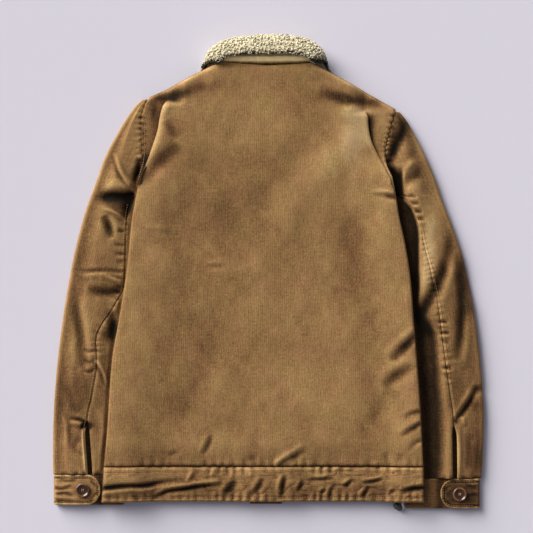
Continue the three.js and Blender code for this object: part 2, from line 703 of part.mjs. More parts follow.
function makeStand() {
  const half = thick.stand / 2;
  const skin = (sign) => (u, v) => {
    const [a, b] = v < 0.5 ? standRows.slice(0, 2) : standRows.slice(1);
    const t = (v - a.v) / (b.v - a.v);
    const x = mix(neck.left + 1, neck.right - 1, u) * mix(1, 0.93, v);
    const dip = 2.5 * (2 * u - 1) ** 2 * (1 - v);
    const rim = v === 0 || v === 1 ? 0.6 : 1;
    const depth = sign * half * rim;
    return [x, mix(a.y, b.y, t) + 0.35 * depth + dip, mix(a.z, b.z, t) + depth];
  };
  return wall("collar_stand", corduroy, spaced(16), [0, 0.15, 0.5, 0.85, 1], skin(1), skin(-1));
}

// The leaf, row by row from the left collar point over the back neck to the right one. Each row
// has the roll, the outer turn beyond it, the middle of the leaf and its free edge.
const leafRows = [
  { roll: [-9, 244, 4.5], turn: [-22, 226, 4.5], leaf: [-36, 205, 4.5], edge: [-50, 184, 4.5] },
  { roll: [-26, 250, 4.5], turn: [-42, 237, 4.5], leaf: [-60, 222, 4.5], edge: [-78, 208, 4.5] },
  { roll: [-50, 268, 4.5], turn: [-65, 262, 4.5], leaf: [-82, 256, 4.5], edge: [-98, 250, 4.5] },
  { roll: [-72, 292, 4.6], turn: [-83, 289, 4.6], leaf: [-94, 285, 4.6], edge: [-102, 281, 4.6] },
  { roll: [-78, 305, 4.8], turn: [-85, 303, 4.8], leaf: [-93, 299, 4.8], edge: [-99, 293, 4.8] },
  { roll: [-77, 319, 9], turn: [-83, 319, 13], leaf: [-88, 314, 14], edge: [-89, 307, 11] },
  { roll: [-72, 326, 12], turn: [-80, 326, 20], leaf: [-81, 319, 26.5], edge: [-74, 311.5, 29.5] },
  { roll: [-58, 334, 12], turn: [-63, 336, 22], leaf: [-61, 327, 29.5], edge: [-57, 318.5, 32.5] },
  { roll: [-32, 338, 11.5], turn: [-33, 342, 22], leaf: [-32, 331, 30.5], edge: [-31, 322, 33.5] },
  { roll: [0, 339, 11.5], turn: [0, 344, 22], leaf: [0, 332, 30.5], edge: [0, 322.5, 33.5] },
  { roll: [34, 339, 11.5], turn: [35, 342.5, 22], leaf: [34, 331.5, 30.5], edge: [33, 323.5, 33.5] },
  { roll: [55, 334, 12], turn: [59, 336, 22], leaf: [57, 327.5, 29.5], edge: [53, 320.5, 32.5] },
  { roll: [65, 326, 12], turn: [72, 326, 20], leaf: [74, 320, 26.5], edge: [67, 312.5, 29.5] },
  { roll: [70, 319, 9], turn: [75, 319, 13], leaf: [80, 315, 14], edge: [81.5, 308.7, 11] },
  { roll: [68, 305, 4.8], turn: [75, 303, 4.8], leaf: [84, 299, 4.8], edge: [91, 293, 4.8] },
  { roll: [66, 292, 4.6], turn: [77, 289, 4.6], leaf: [87, 285, 4.6], edge: [94, 281, 4.6] },
  { roll: [44, 268, 4.5], turn: [60, 262, 4.5], leaf: [77, 256, 4.5], edge: [93, 250, 4.5] },
  { roll: [20, 250, 4.5], turn: [37, 237, 4.5], leaf: [55, 222, 4.5], edge: [73, 208, 4.5] },
  { roll: [2, 244, 4.5], turn: [15, 226, 4.5], leaf: [29, 205, 4.5], edge: [43, 184, 4.5] },
];

function makeFleece() {
  const lines = ["roll", "turn", "leaf", "edge"].map(
    (key) => new THREE.CatmullRomCurve3(leafRows.map((row) => new THREE.Vector3(...row[key]))),
  );
  const centre = (u, v) => {
    const across = new THREE.CatmullRomCurve3(lines.map((line) => line.getPoint(u)));
    return { at: across.getPoint(v), along: across.getTangent(v) };
  };
  const skin = (sign) => (u, v) => {
    const { at, along } = centre(u, v);
    const before = centre(Math.max(0, u - 0.01), v).at;
    const after = centre(Math.min(1, u + 0.01), v).at;
    const normal = after.sub(before).cross(along).normalize();
    const rim = [0, 1].includes(v) || [0, 1].includes(u) ? 0.55 : 1;
    at.addScaledVector(normal, -sign * (thick.fleece / 2 - 0.1) * rim);
    return [at.x, at.y, Math.max(at.z, 0)];
  };
  return wall("collar_fleece", fleece, spaced(38, [0.006]), [0, 0.1, 0.37, 0.63, 0.9, 1], skin(1), skin(-1));
}

// The stop on the hem's drawcord, showing just below the hem, with the end of cord that it holds.
function makeCordStop() {
  const { radius, halfLength, cordRadius, cordLength, turn, tilt } = cordStop;
  const profile = [
    [0, -1],
    [0.66, -0.96],
    [0.94, -0.62],
    [1, 0],
    [0.94, 0.62],
    [0.66, 0.96],
    [0, 1],
  ].map(([r, h]) => new THREE.Vector2(r * radius, h * halfLength));
  const barrel = new THREE.LatheGeometry(profile, 16).rotateZ(THREE.MathUtils.degToRad(turn));
  const cord = new THREE.CylinderGeometry(cordRadius, cordRadius, cordLength, 8);
  cord.translate(0, cordLength / 2 + 1, 0);
  const shape = toManifold(barrel).add(toManifold(cord));
  const mesh = fromManifold("hem_cord_stop", darkPlastic, shape);
  mesh.rotation.x = THREE.MathUtils.degToRad(tilt);
  mesh.position.set(...cordStop.at);
  return mesh;
}

const jacket = new THREE.Group();
jacket.add(makeBack(), makePlacket(), makeBackBand(), makeStand(), makeFleece(), makeCordStop());
for (const side of [-1, 1]) {
  jacket.add(makeFront(side), makeFrontBand(side));
  jacket.add(makeUpperSleeve(side), makeUnderSleeve(side), makeCuff(side), makeButton(side));
}

export default jacket;
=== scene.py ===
import math

import bpy
import numpy as np
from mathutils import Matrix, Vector


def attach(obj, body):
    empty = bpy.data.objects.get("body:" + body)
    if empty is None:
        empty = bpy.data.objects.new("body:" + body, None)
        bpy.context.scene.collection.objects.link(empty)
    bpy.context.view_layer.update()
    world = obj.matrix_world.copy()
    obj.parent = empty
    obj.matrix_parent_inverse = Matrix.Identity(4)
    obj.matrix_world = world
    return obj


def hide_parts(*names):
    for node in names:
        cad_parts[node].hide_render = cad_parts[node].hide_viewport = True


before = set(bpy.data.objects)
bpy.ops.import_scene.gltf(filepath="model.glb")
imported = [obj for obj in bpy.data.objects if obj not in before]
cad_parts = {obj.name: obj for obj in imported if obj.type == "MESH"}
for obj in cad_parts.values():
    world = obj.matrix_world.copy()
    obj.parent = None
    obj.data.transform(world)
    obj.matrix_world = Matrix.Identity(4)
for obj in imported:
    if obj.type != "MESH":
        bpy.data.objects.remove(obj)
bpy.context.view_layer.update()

# A corduroy jacket with a curly fleece collar, laid on its front with its back up.
# Tables and heights are in millimetres, like the workshop drawing; meshes are made in metres.

mm = 0.001
pi = math.pi
bothSides = (-1, 1)  # left and right, as the picture shows them
sideName, sideTitle = {-1: "left", 1: "right"}, {-1: "Left", 1: "Right"}


# Small maths helpers

def mix(a, b, t):
    return a + (b - a) * t


def ramp(start, end, x):  # 0 at start, 1 at end, evenly curved between
    t = np.clip((x - start) / (end - start), 0, 1)
    return t * t * (3 - 2 * t)


def bell(distance, width):  # 1 at no distance, fading on both sides
    return np.exp(-(distance / width) ** 2)


def rolled(t, least=0):  # rises from 0 to 1 like a quarter of a circle
    return np.sqrt(np.clip(1 - (1 - np.clip(t, 0, 1)) ** 2, least, 1))


def unit(vectors):
    return vectors / (np.linalg.norm(vectors, axis=-1, keepdims=True) + 1e-9)


def column(rows, k):  # column k of a table, as a smooth curve over y, which is column 0
    ys, values = np.array(sorted((row[0], row[k]) for row in rows if row[k] is not None), float).T
    last = len(ys) - 1
    before, after = np.maximum(np.arange(last + 1) - 1, 0), np.minimum(np.arange(last + 1) + 1, last)
    slopes = (values[after] - values[before]) / (ys[after] - ys[before])

    def read(y):
        at = np.clip(y, ys[0], ys[-1])
        i = np.clip(np.searchsorted(ys, at, side="right") - 1, 0, last - 1)
        span = ys[i + 1] - ys[i]
        t = (at - ys[i]) / span
        chord = values[i + 1] - values[i]
        startPull, endPull = slopes[i] * span - chord, slopes[i + 1] * span - chord
        return values[i] + chord * t + t * (1 - t) * ((1 - t) * startPull - t * endPull)

    return read


def spline(before, a, b, after, t):  # a smooth curve from a to b, with its two neighbours
    return 0.5 * (2 * a + (b - before) * t + (2 * before - 5 * a + 4 * b - after) * t ** 2
                  + (3 * a - before - 3 * b + after) * t ** 3)


def catmull(points, at):  # smooth curve through points; at runs from 0 to len(points) - 1
    points = np.asarray(points, float)
    last = len(points) - 1
    i = np.clip(np.floor(at).astype(int), 0, last - 1)
    a, b = points[i], points[i + 1]
    before = np.where((i > 0)[..., None], points[np.maximum(i - 1, 0)], 2 * a - b)
    after = np.where((i < last - 1)[..., None], points[np.minimum(i + 2, last)], 2 * b - a)
    return spline(before, a, b, after, (at - i)[..., None])


def softNoise(x, y, sizeX, sizeY, seed):  # smooth random height from -1 to 1
    tile = 128
    lattice = np.random.default_rng(seed).uniform(-1, 1, (tile, tile))
    gx, gy = x / sizeX + 40.37, y / sizeY + 51.71
    ix, iy = np.floor(gx).astype(int), np.floor(gy).astype(int)
    fx, fy = ramp(0, 1, gx - ix), ramp(0, 1, gy - iy)
    low = mix(lattice[ix % tile, iy % tile], lattice[(ix + 1) % tile, iy % tile], fx)
    high = mix(lattice[ix % tile, (iy + 1) % tile], lattice[(ix + 1) % tile, (iy + 1) % tile], fx)
    return mix(low, high, fy)


def nearLine(x, y, line, reach):  # signed distance from a line, and how far along it, where near
    path = catmull(line, np.linspace(0, len(line) - 1, 8 * (len(line) - 1) + 1))
    low, high = path.min(0) - reach, path.max(0) + reach
    near = (x > low[0]) & (x < high[0]) & (y > low[1]) & (y < high[1])
    px, py = x[near], y[near]
    best = np.full(px.shape, 1e9)
    signed, along = np.zeros(px.shape), np.zeros(px.shape)
    for k, ((ax, ay), (dx, dy)) in enumerate(zip(path[:-1], np.diff(path, axis=0))):
        t = np.clip(((px - ax) * dx + (py - ay) * dy) / (dx * dx + dy * dy + 1e-9), 0, 1)
        ox, oy = px - ax - t * dx, py - ay - t * dy
        distance = np.hypot(ox, oy)
        closer = distance < best
        best = np.where(closer, distance, best)
        signed = np.where(closer, np.where(dx * oy - dy * ox >= 0, distance, -distance), signed)
        along = np.where(closer, (k + t) / (len(path) - 1), along)
    return near, signed, along


def crease(line, width, height, lip=0, ends=(0, 0)):
    # a trough where height is below 0; lip is the share of it that stands up beside it, on the
    # left of the line, or on the right if below 0; at each end 0 tapers and 1 runs on
    return {"line": line, "width": width, "height": height, "lip": lip, "ends": ends}


def creaseHeight(x, y, creases):
    total = np.zeros(x.shape)
    for fold in creases:
        width, lip = fold["width"], fold["lip"]
        near, signed, along = nearLine(x, y, fold["line"], 4 * width)
        start, end = 0.5 * fold["ends"][0], 1 - 0.5 * fold["ends"][1]
        taper = np.sin(pi * np.clip(start + along * (end - start), 0, 1)) ** 0.6
        beside = signed - math.copysign(1.7 * width, lip)
        total[near] += fold["height"] * taper * (bell(signed, width) - abs(lip) * bell(beside, 1.1 * width))
    return total


def lumpHeight(x, y, lumps):  # soft unevenness: height, size across, size along, seed
    return sum(height * softNoise(x, y, sizeX, sizeY, seed) for height, sizeX, sizeY, seed in lumps)


def puckers(x, y, line, spacing, height, reach, seed):  # short ripples across a seam
    total = np.zeros(x.shape)
    near, signed, along = nearLine(x, y, line, 3 * reach)
    travel = along * np.hypot(*np.diff(np.asarray(line, float), axis=0).T).sum()
    wander = softNoise(travel, signed * 0.3, 1.6 * spacing, 1e3, seed)
    strength = 0.55 + 0.45 * softNoise(travel, travel, 3.1 * spacing, 1e3, seed + 1)
    fade = bell(signed, reach) * ramp(0, 0.03, along) * ramp(1, 0.97, along)
    wave = np.sin(2 * pi * travel / spacing + 2.4 * wander)
    total[near] = height * strength * fade * (wave - 0.45 * wave ** 4)
    return total


def across(*runs):  # (start, end, count) runs of parameters, joined
    joined = [np.linspace(a, b, n, endpoint=False) for a, b, n in runs]
    return np.append(np.concatenate(joined), runs[-1][1])


# The jacket's outlines, the same as in the solids

layers = {"panel": 8, "sleeve": 4, "cuff": 3, "band": 6.5, "placket": 3, "fleece": 9, "sleeveGap": 3}
seam = 0.3  # the gap between neighbours
hemSeamY, hemY, neckY = -285, -337, 306
neckLeft, neckRight, middleX, placketHalf = -66, 62, -3.5, 23.5
neckMiddle = (neckLeft + neckRight) / 2
underarmY, gusset, frontNeckDrop = 112, 26, 76

# the body's side seams: y, x of the seam, and the width of the slack folded over it
bodySide = {
    -1: [
        (-337, -244, 0), (-285, -241, 0), (-224, -236, 0), (-125, -229, 0), (-68, -219, 0), (10, -207, 0),
        (80, -200, 0), (112, -194, 0), (140, -190, 3), (164, -185, 7), (187, -186, 16), (209, -187, 24),
        (227, -186, 26), (245, -181, 26), (258, -175, 25),
    ],
    1: [
        (-337, 228, 0), (-285, 227, 0), (-186, 222, 0), (-71, 213, 0), (-6, 208, 0), (50, 199, 0),
        (80, 192, 0), (112, 187, 0), (139, 181, 2), (158, 173, 4), (177, 171, 12), (195, 175, 24),
        (217, 181, 34), (240, 187, 40),
    ],
}
# the sleeves' outlines: y, x of the outer edge, of the elbow seam and of the inner edge
sleeveShape = {
    -1: [
        (256, -184, None, -182), (245, -196, None, -182), (227, -209, None, -182), (209, -220, None, -182),
        (174, -239, None, -182), (139, -252, None, -182), (125, -257, None, -182), (112, -262, -201, -182),
        (86, -271, -207, -183), (33, -285, -210, -185), (-2, -292, -211, -188), (-26, None, -214, None),
        (-48, -300, -226, -195), (-90, -306, -251, -200), (-128, None, -252, None),
        (-143, -312, -252.5, -206), (-181, None, -259, None), (-218, -317, -266, -211),
        (-298, -317.5, -262, -213), (-342, -316, -262, -212),
    ],
    1: [
        (239, 191, None, 176), (227, 201, None, 176), (209, 212, None, 176), (192, 221, None, 176),
        (174, 230, None, 176), (139, 245, None, 176), (125, 250, None, 175), (112, 254, 196, 174),
        (86, 264, 216, 178), (33, 283, 230, 183), (-2, 292, 239, 187), (-57, 303, 250, 191),
        (-118, 311, 258, 195), (-179, 316, 267, 198), (-218, 317.5, 272, 200), (-302, 314, 274, 201),
        (-348, 309, 274, 201),
    ],
}
cuffTopY, cuffHemY = {-1: -297, 1: -303}, {-1: -342, 1: -347}
slitTopY, slitWidth = {-1: -222, 1: -226}, 6.5
shoulderY = {-1: 258, 1: 240}
buttonAt = {-1: (-273, -320), 1: (281, -326)}
tabEndX = {-1: -247, 1: 253}

bodySeam, bodyShelf = ({s: column(bodySide[s], k) for s in bothSides} for k in (1, 2))
sleeveOuter, sleeveElbow, sleeveInner = ({s: column(sleeveShape[s], k) for s in bothSides} for k in (1, 2, 3))
pressed = 2 * layers["sleeve"] + 0.8  # a sleeve's height where the body lies on it
tubeHeight = 2 * layers["sleeve"] + layers["sleeveGap"]


def bed(x, y):  # what the fronts lie on: the sleeves, the collar's leaves and the placket
    inside = np.where(x < middleX, x - sleeveInner[-1](y), sleeveInner[1](y) - x)
    overSleeve = (pressed + 0.6) * ramp(50, 3, inside) * ramp(185, underarmY + gusset - 4, y)
    overCollar = (layers["fleece"] + 1.4) * ramp(150, 178, y) * ramp(142, 112, np.abs(x))
    overPlacket = (layers["placket"] + seam) * ramp(placketHalf + 34, placketHalf + 8, np.abs(x - middleX))
    return np.maximum(np.maximum(overSleeve, overCollar), overPlacket)


# Making meshes, and the tone of rubbed cloth, with painted shade in its folds

def addPiece(name, points, faces, materials, attributes=None):
    # a smooth mesh in the scene, from points in mm; each attribute has one value a point
    mesh = bpy.data.meshes.new(name)
    mesh.from_pydata((points * mm).tolist(), [], faces)
    mesh.polygons.foreach_set("use_smooth", np.ones(len(mesh.polygons), bool))
    for key, values in (attributes or {}).items():
        attribute = mesh.attributes.new(key, "FLOAT", "POINT")
        attribute.data.foreach_set("value", values.ravel().astype(np.float32))
    for material in materials:
        mesh.materials.append(material)
    mesh.update()
    piece = bpy.data.objects.new(name, mesh)
    bpy.context.scene.collection.objects.link(piece)
    return piece


def finishPiece(piece, slotName, *nodes):
    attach(piece, "root")
    if nodes:
        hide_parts(*nodes)


def gridNormals(grid):
    return unit(np.cross(np.gradient(grid, axis=1), np.gradient(grid, axis=0)))


def wallMesh(name, face, back, uv, material, **attributes):
    # a closed wall between two grids of points (rows, columns, xyz)
    rows, cols = face.shape[:2]
    count = rows * cols
    points = np.concatenate([face.reshape(-1, 3), back.reshape(-1, 3)])
    ids = np.arange(count).reshape(rows, cols)
    top = np.stack([ids[:-1, :-1], ids[:-1, 1:], ids[1:, 1:], ids[1:, :-1]], -1).reshape(-1, 4)
    rim = []
    for line, flip in ((ids[0], True), (ids[-1], False), (ids[:, 0], False), (ids[:, -1], True)):
        quads = np.stack([line[:-1], line[1:], line[1:] + count, line[:-1] + count], -1)
        rim.append(quads if flip else quads[:, ::-1])
    quads = np.concatenate([top, top[:, ::-1] + count, np.concatenate(rim)[:, ::-1]])
    a, b, c, d = (points[quads[:, k]] for k in range(4))
    volume = (np.einsum("ij,ij->i", a, np.cross(b, c)) + np.einsum("ij,ij->i", a, np.cross(c, d))).sum()
    if volume < 0:
        quads = quads[:, ::-1]
    twice = {key: np.concatenate([values.ravel()] * 2) for key, values in attributes.items()}
    piece = addPiece(name, points, quads.tolist(), [material], twice)
    flat = np.concatenate([uv.reshape(-1, 2)] * 2) * mm
    layer = piece.data.uv_layers.new(name="cloth")
    layer.data.foreach_set("uv", flat[quads.ravel()].astype(np.float32).ravel())
    return piece


def shell(name, face, thickness, uv, material, upAt, **attributes):
    # a wall of even thickness below a face, which looks up at the row and column upAt
    normal = gridNormals(face)
    if normal[upAt][2] < 0:
        normal = -normal
    return wallMesh(name, face, face - normal * thickness, uv, material, **attributes)


def ringQuads(rings, sides, base=0):  # faces between rings of points, each ring closed
    quads = []
    for r in range(rings - 1):
        for k in range(sides):
            a, b = base + r * sides + k, base + r * sides + (k + 1) % sides
            quads.append((a, b, b + sides, a + sides))
    return quads


def strandFaces(rings, sides, base):  # the same, with both ends capped
    start, end = list(range(sides))[::-1], [(rings - 1) * sides + k for k in range(sides)]
    return ringQuads(rings, sides, base) + [tuple(base + k for k in cap) for cap in (start, end)]


def smoothed(values, times):
    for _ in range(times):
        padded = np.pad(values, 1, mode="edge")
        around = padded[:-2, 1:-1] + padded[2:, 1:-1] + padded[1:-1, :-2] + padded[1:-1, 2:]
        values = (around + 2 * values) / 6
    return values


def wearFrom(height, patches=0.0):
    # pile rubs pale on the folds that stand up; the troughs and low places are darkened as painted shade
    local = height - smoothed(height, 10)
    broad = height - smoothed(height, 140)
    rubbed = np.clip(0.14 * local, -0.22, 0.08) + np.clip(0.05 * broad, -0.26, 0.1)
    return np.clip(0.6 + rubbed + patches, -0.2, 1.2)


def patchTone(x, y, patches):  # soft patches: x, y, radius across, radius along, how much paler
    return sum(k * np.exp(-((x - cx) / rx) ** 2 - ((y - cy) / ry) ** 2) for cx, cy, rx, ry, k in patches)


def arcLengths(grid, axis, start):  # distance along the cloth from one row or column
    total = np.cumsum(np.linalg.norm(np.diff(grid, axis=axis), axis=2), axis=axis)
    total = np.pad(total, [(1, 0), (0, 0)] if axis == 0 else [(0, 0), (1, 0)])
    return total - np.take(total, [start], axis=axis)


# Materials

def linear(hexColour):  # sRGB hex to linear RGBA
    values = [int(hexColour[i:i + 2], 16) / 255 for i in (1, 3, 5)]
    return [v / 12.92 if v <= 0.04045 else ((v + 0.055) / 1.055) ** 2.4 for v in values] + [1.0]


def newMaterial(name):
    material = bpy.data.materials.new(name)
    material.use_nodes = True
    material.node_tree.nodes.clear()
    return material, material.node_tree


def addNode(tree, kind, settings=None, links=None):
    node = tree.nodes.new(kind)
    for key, value in (settings or {}).items():
        if isinstance(key, str) and hasattr(node, key):
            setattr(node, key, value)
        else:
            node.inputs[key].default_value = value
    for key, source in (links or {}).items():
        tree.links.new(source, node.inputs[key])
    return node


def addNoise(tree, vector, scale, detail, **more):
    settings = {"Scale": scale, "Detail": detail, **more}
    return addNode(tree, "ShaderNodeTexNoise", settings, {"Vector": vector}).outputs["Fac"]


def scaleAdd(tree, source, factor, base):  # source times factor, plus a number or another output
    settings, links = {"operation": "MULTIPLY_ADD", 1: factor}, {0: source}
    (settings if isinstance(base, float) else links)[2] = base
    return addNode(tree, "ShaderNodeMath", settings, links).outputs[0]


def addRamp(tree, source, tones):  # colours at places from 0 to 1
    node = addNode(tree, "ShaderNodeValToRGB", links={"Fac": source})
    stops = node.color_ramp.elements
    for k, (at, shade) in enumerate(tones):
        stop = stops[k] if k < 2 else stops.new(at)
        stop.position, stop.color = at, linear(shade)
    return node.outputs[0]


def addBump(tree, height, strength, distance):
    settings = {"Strength": strength, "Distance": distance}
    return addNode(tree, "ShaderNodeBump", settings, {"Height": height}).outputs[0]


def addSurface(tree, settings, links=None):
    shader = addNode(tree, "ShaderNodeBsdfPrincipled", settings, links)
    addNode(tree, "ShaderNodeOutputMaterial", links={"Surface": shader.outputs[0]})


def objectPlace(tree):
    return addNode(tree, "ShaderNodeTexCoord").outputs["Object"]


corduroyLook = {
    "tones": [(0.0, "#150e07"), (0.2, "#3a2815"), (0.42, "#68492a"), (0.6, "#8c6a40"), (0.8, "#a98553"),
              (1.0, "#c6a673")],
    # fine-wale cotton corduroy has a wale each 1.3 mm or so; drawn coarser so that it shows
    "waleWidth": 0.0029,
    "waleTone": 0.014,
    "wander": 0.0030,
    "roughness": 0.93,
    "sheen": 0.16,
    # grains of its tone: size across and along the pile in mm, detail, and share in the tone
    "streaks": (2.4, 17, 3.0, 0.28),
    "crossed": (15, 2.6, 2.0, 0.18),
    "flecks": (2.3, 3.2, 2.0, 0.40),
    "clouds": (60, 75, 4.0, 0.26),
    "blotches": (17, 22, 3.0, 0.18),
}
# the stand's cloth is paler and yellower, and its tones are raised further as painted light, to brighten it
# in the leaf's shade
standLook = {**corduroyLook, "sheen": 0.0, "tones": [(0.0, "#2a2012"), (0.2, "#5c4a2c"), (0.42, "#a8874a"),
                                                     (0.6, "#deb868"), (0.8, "#f6d68c"), (1.0, "#ffe4a6")]}


def makeCorduroy(name, look):
    # cotton corduroy: cut pile in rows, matte, with a soft sheen at glancing angles; washed, so
    # that the pile's tips are pale where it rubs; its folds are darkened as painted shade
    material, tree = newMaterial(name)
    uv = addNode(tree, "ShaderNodeUVMap", {"uv_map": "cloth"}).outputs[0]

    def grain(sizeAcross, sizeAlong, detail):  # sizes in mm
        scale = {"Scale": (1000 / sizeAcross, 1000 / sizeAlong, 1.0)}
        scaled = addNode(tree, "ShaderNodeMapping", scale, {"Vector": uv})
        return addNoise(tree, scaled.outputs[0], 1.0, detail, Roughness=0.6)

    parts = addNode(tree, "ShaderNodeSeparateXYZ", links={0: uv})
    grains = {key: grain(*look[key][:3]) for key in ("streaks", "crossed", "flecks", "clouds", "blotches")}
    wander = scaleAdd(tree, grain(8, 30, 2.0), look["wander"], parts.outputs["X"])
    turns = scaleAdd(tree, wander, 2 * pi / look["waleWidth"], 0.0)
    wale = addNode(tree, "ShaderNodeMath", {"operation": "SINE"}, {0: turns}).outputs[0]
    wornAndShaded = addNode(tree, "ShaderNodeAttribute", {"attribute_name": "wear"}).outputs["Fac"]

    # tone from 0, deepest, for unfaded pile and painted shade, to 1, pale; the grains are centred on 0.5
    tone = scaleAdd(tree, wale, look["waleTone"], -0.5 * sum(look[key][3] for key in grains))
    for key, source in grains.items():
        tone = scaleAdd(tree, source, look[key][3], tone)
    tone = scaleAdd(tree, wornAndShaded, 1.0, tone)
    # the dye has gone redder in some places and more olive in others
    cast = scaleAdd(tree, grain(38, 44, 3.0), -0.045, 0.5225)
    dyed = addNode(tree, "ShaderNodeHueSaturation", {"Saturation": 0.97},
                   {"Hue": cast, "Color": addRamp(tree, tone, look["tones"])})
    height = scaleAdd(tree, grains["flecks"], 1.3, scaleAdd(tree, wale, 0.16, grains["streaks"]))
    addSurface(tree, {"Roughness": look["roughness"], "Specular IOR Level": 0.15, "Sheen Roughness": 0.5,
                      "Sheen Weight": look["sheen"], "Sheen Tint": linear("#d8b98a")},
               {"Base Color": dyed.outputs[0], "Normal": addBump(tree, height, 0.5, 0.0006)})
    return material


fleeceLook = {
    # the lowest stop, near black, is for painted shade
    "tones": [(0.0, "#2e2717"), (0.15, "#a0957a"), (0.55, "#d3cbac"), (1.0, "#f0ead0")],
    "roughness": 0.95,
    "fuzz": 0.35,
}


def makeFleeceCurl(name, look):
    # knitted acrylic pile, tumbled into curls: chalky and matte, each curl a little lighter or darker
    material, tree = newMaterial(name)
    tone = addNode(tree, "ShaderNodeAttribute", {"attribute_name": "tone"}).outputs["Fac"]
    fuzz = addNoise(tree, objectPlace(tree), 900.0, 3.0)
    fuzzy = scaleAdd(tree, fuzz, look["fuzz"], tone)
    level = addNode(tree, "ShaderNodeMath", {"operation": "SUBTRACT", 1: 0.17}, {0: fuzzy}).outputs[0]
    addSurface(tree, {"Roughness": look["roughness"], "Specular IOR Level": 0.15, "Sheen Weight": 0.3,
                      "Sheen Roughness": 0.5, "Sheen Tint": linear("#f2ead6")},
               {"Base Color": addRamp(tree, level, look["tones"]),
                "Normal": addBump(tree, fuzz, 0.5, 0.0004)})
    return material


def makeHorn(name, pale, dark):
    # turned and polished polyester made to look like horn: dark brown with paler streaks, glossy
    material, tree = newMaterial(name)
    pulled = addNode(tree, "ShaderNodeMapping", {"Scale": (260.0, 60.0, 60.0), "Rotation": (0, 0, 0.5)},
                     {"Vector": objectPlace(tree)})
    streaks = addNoise(tree, pulled.outputs[0], 1.0, 3.0, Distortion=0.6)
    addSurface(tree, {"Roughness": 0.22, "IOR": 1.5, "Coat Weight": 0.4, "Coat Roughness": 0.12},
               {"Base Color": addRamp(tree, streaks, [(0.3, dark), (0.75, pale)])})
    return material


def makePlain(name, pale, dark, roughness, grain, bump=0.3):
    # an even finish, with a little grain in its colour and its surface
    material, tree = newMaterial(name)
    noise = addNoise(tree, objectPlace(tree), grain, 3.0)
    addSurface(tree, {"Roughness": roughness},
               {"Base Color": addRamp(tree, noise, [(0.3, dark), (0.7, pale)]),
                "Normal": addBump(tree, noise, bump, 0.0002)})
    return material


corduroy = makeCorduroy("corduroyWashedTan", corduroyLook)
standCloth = makeCorduroy("corduroyPaleStand", standLook)
fleeceCurl = makeFleeceCurl("fleeceCurledCream", fleeceLook)
horn = makeHorn("hornPolishedBrown", "#8a6142", "#3a2012")
# a darker copy of the horn for the buttons' hollow middles: painted shade
hornDark = makeHorn("hornPolishedDark", "#4a2b1a", "#1d0f08")
thread = makePlain("threadPolyesterTan", "#b58f5c", "#86633a", 0.6, 2500.0)  # waxed, with a faint shine
stopPlastic = makePlain("nylonMouldedDarkGreen", "#4a4d45", "#2f322d", 0.42, 700.0)  # moulded nylon, satin
cordBraid = makePlain("cordBraidedPaleGrey", "#f4f2ee", "#cfccc8", 0.8, 1800.0, 0.8)  # braided polyester
print("materials made")


# Back panel

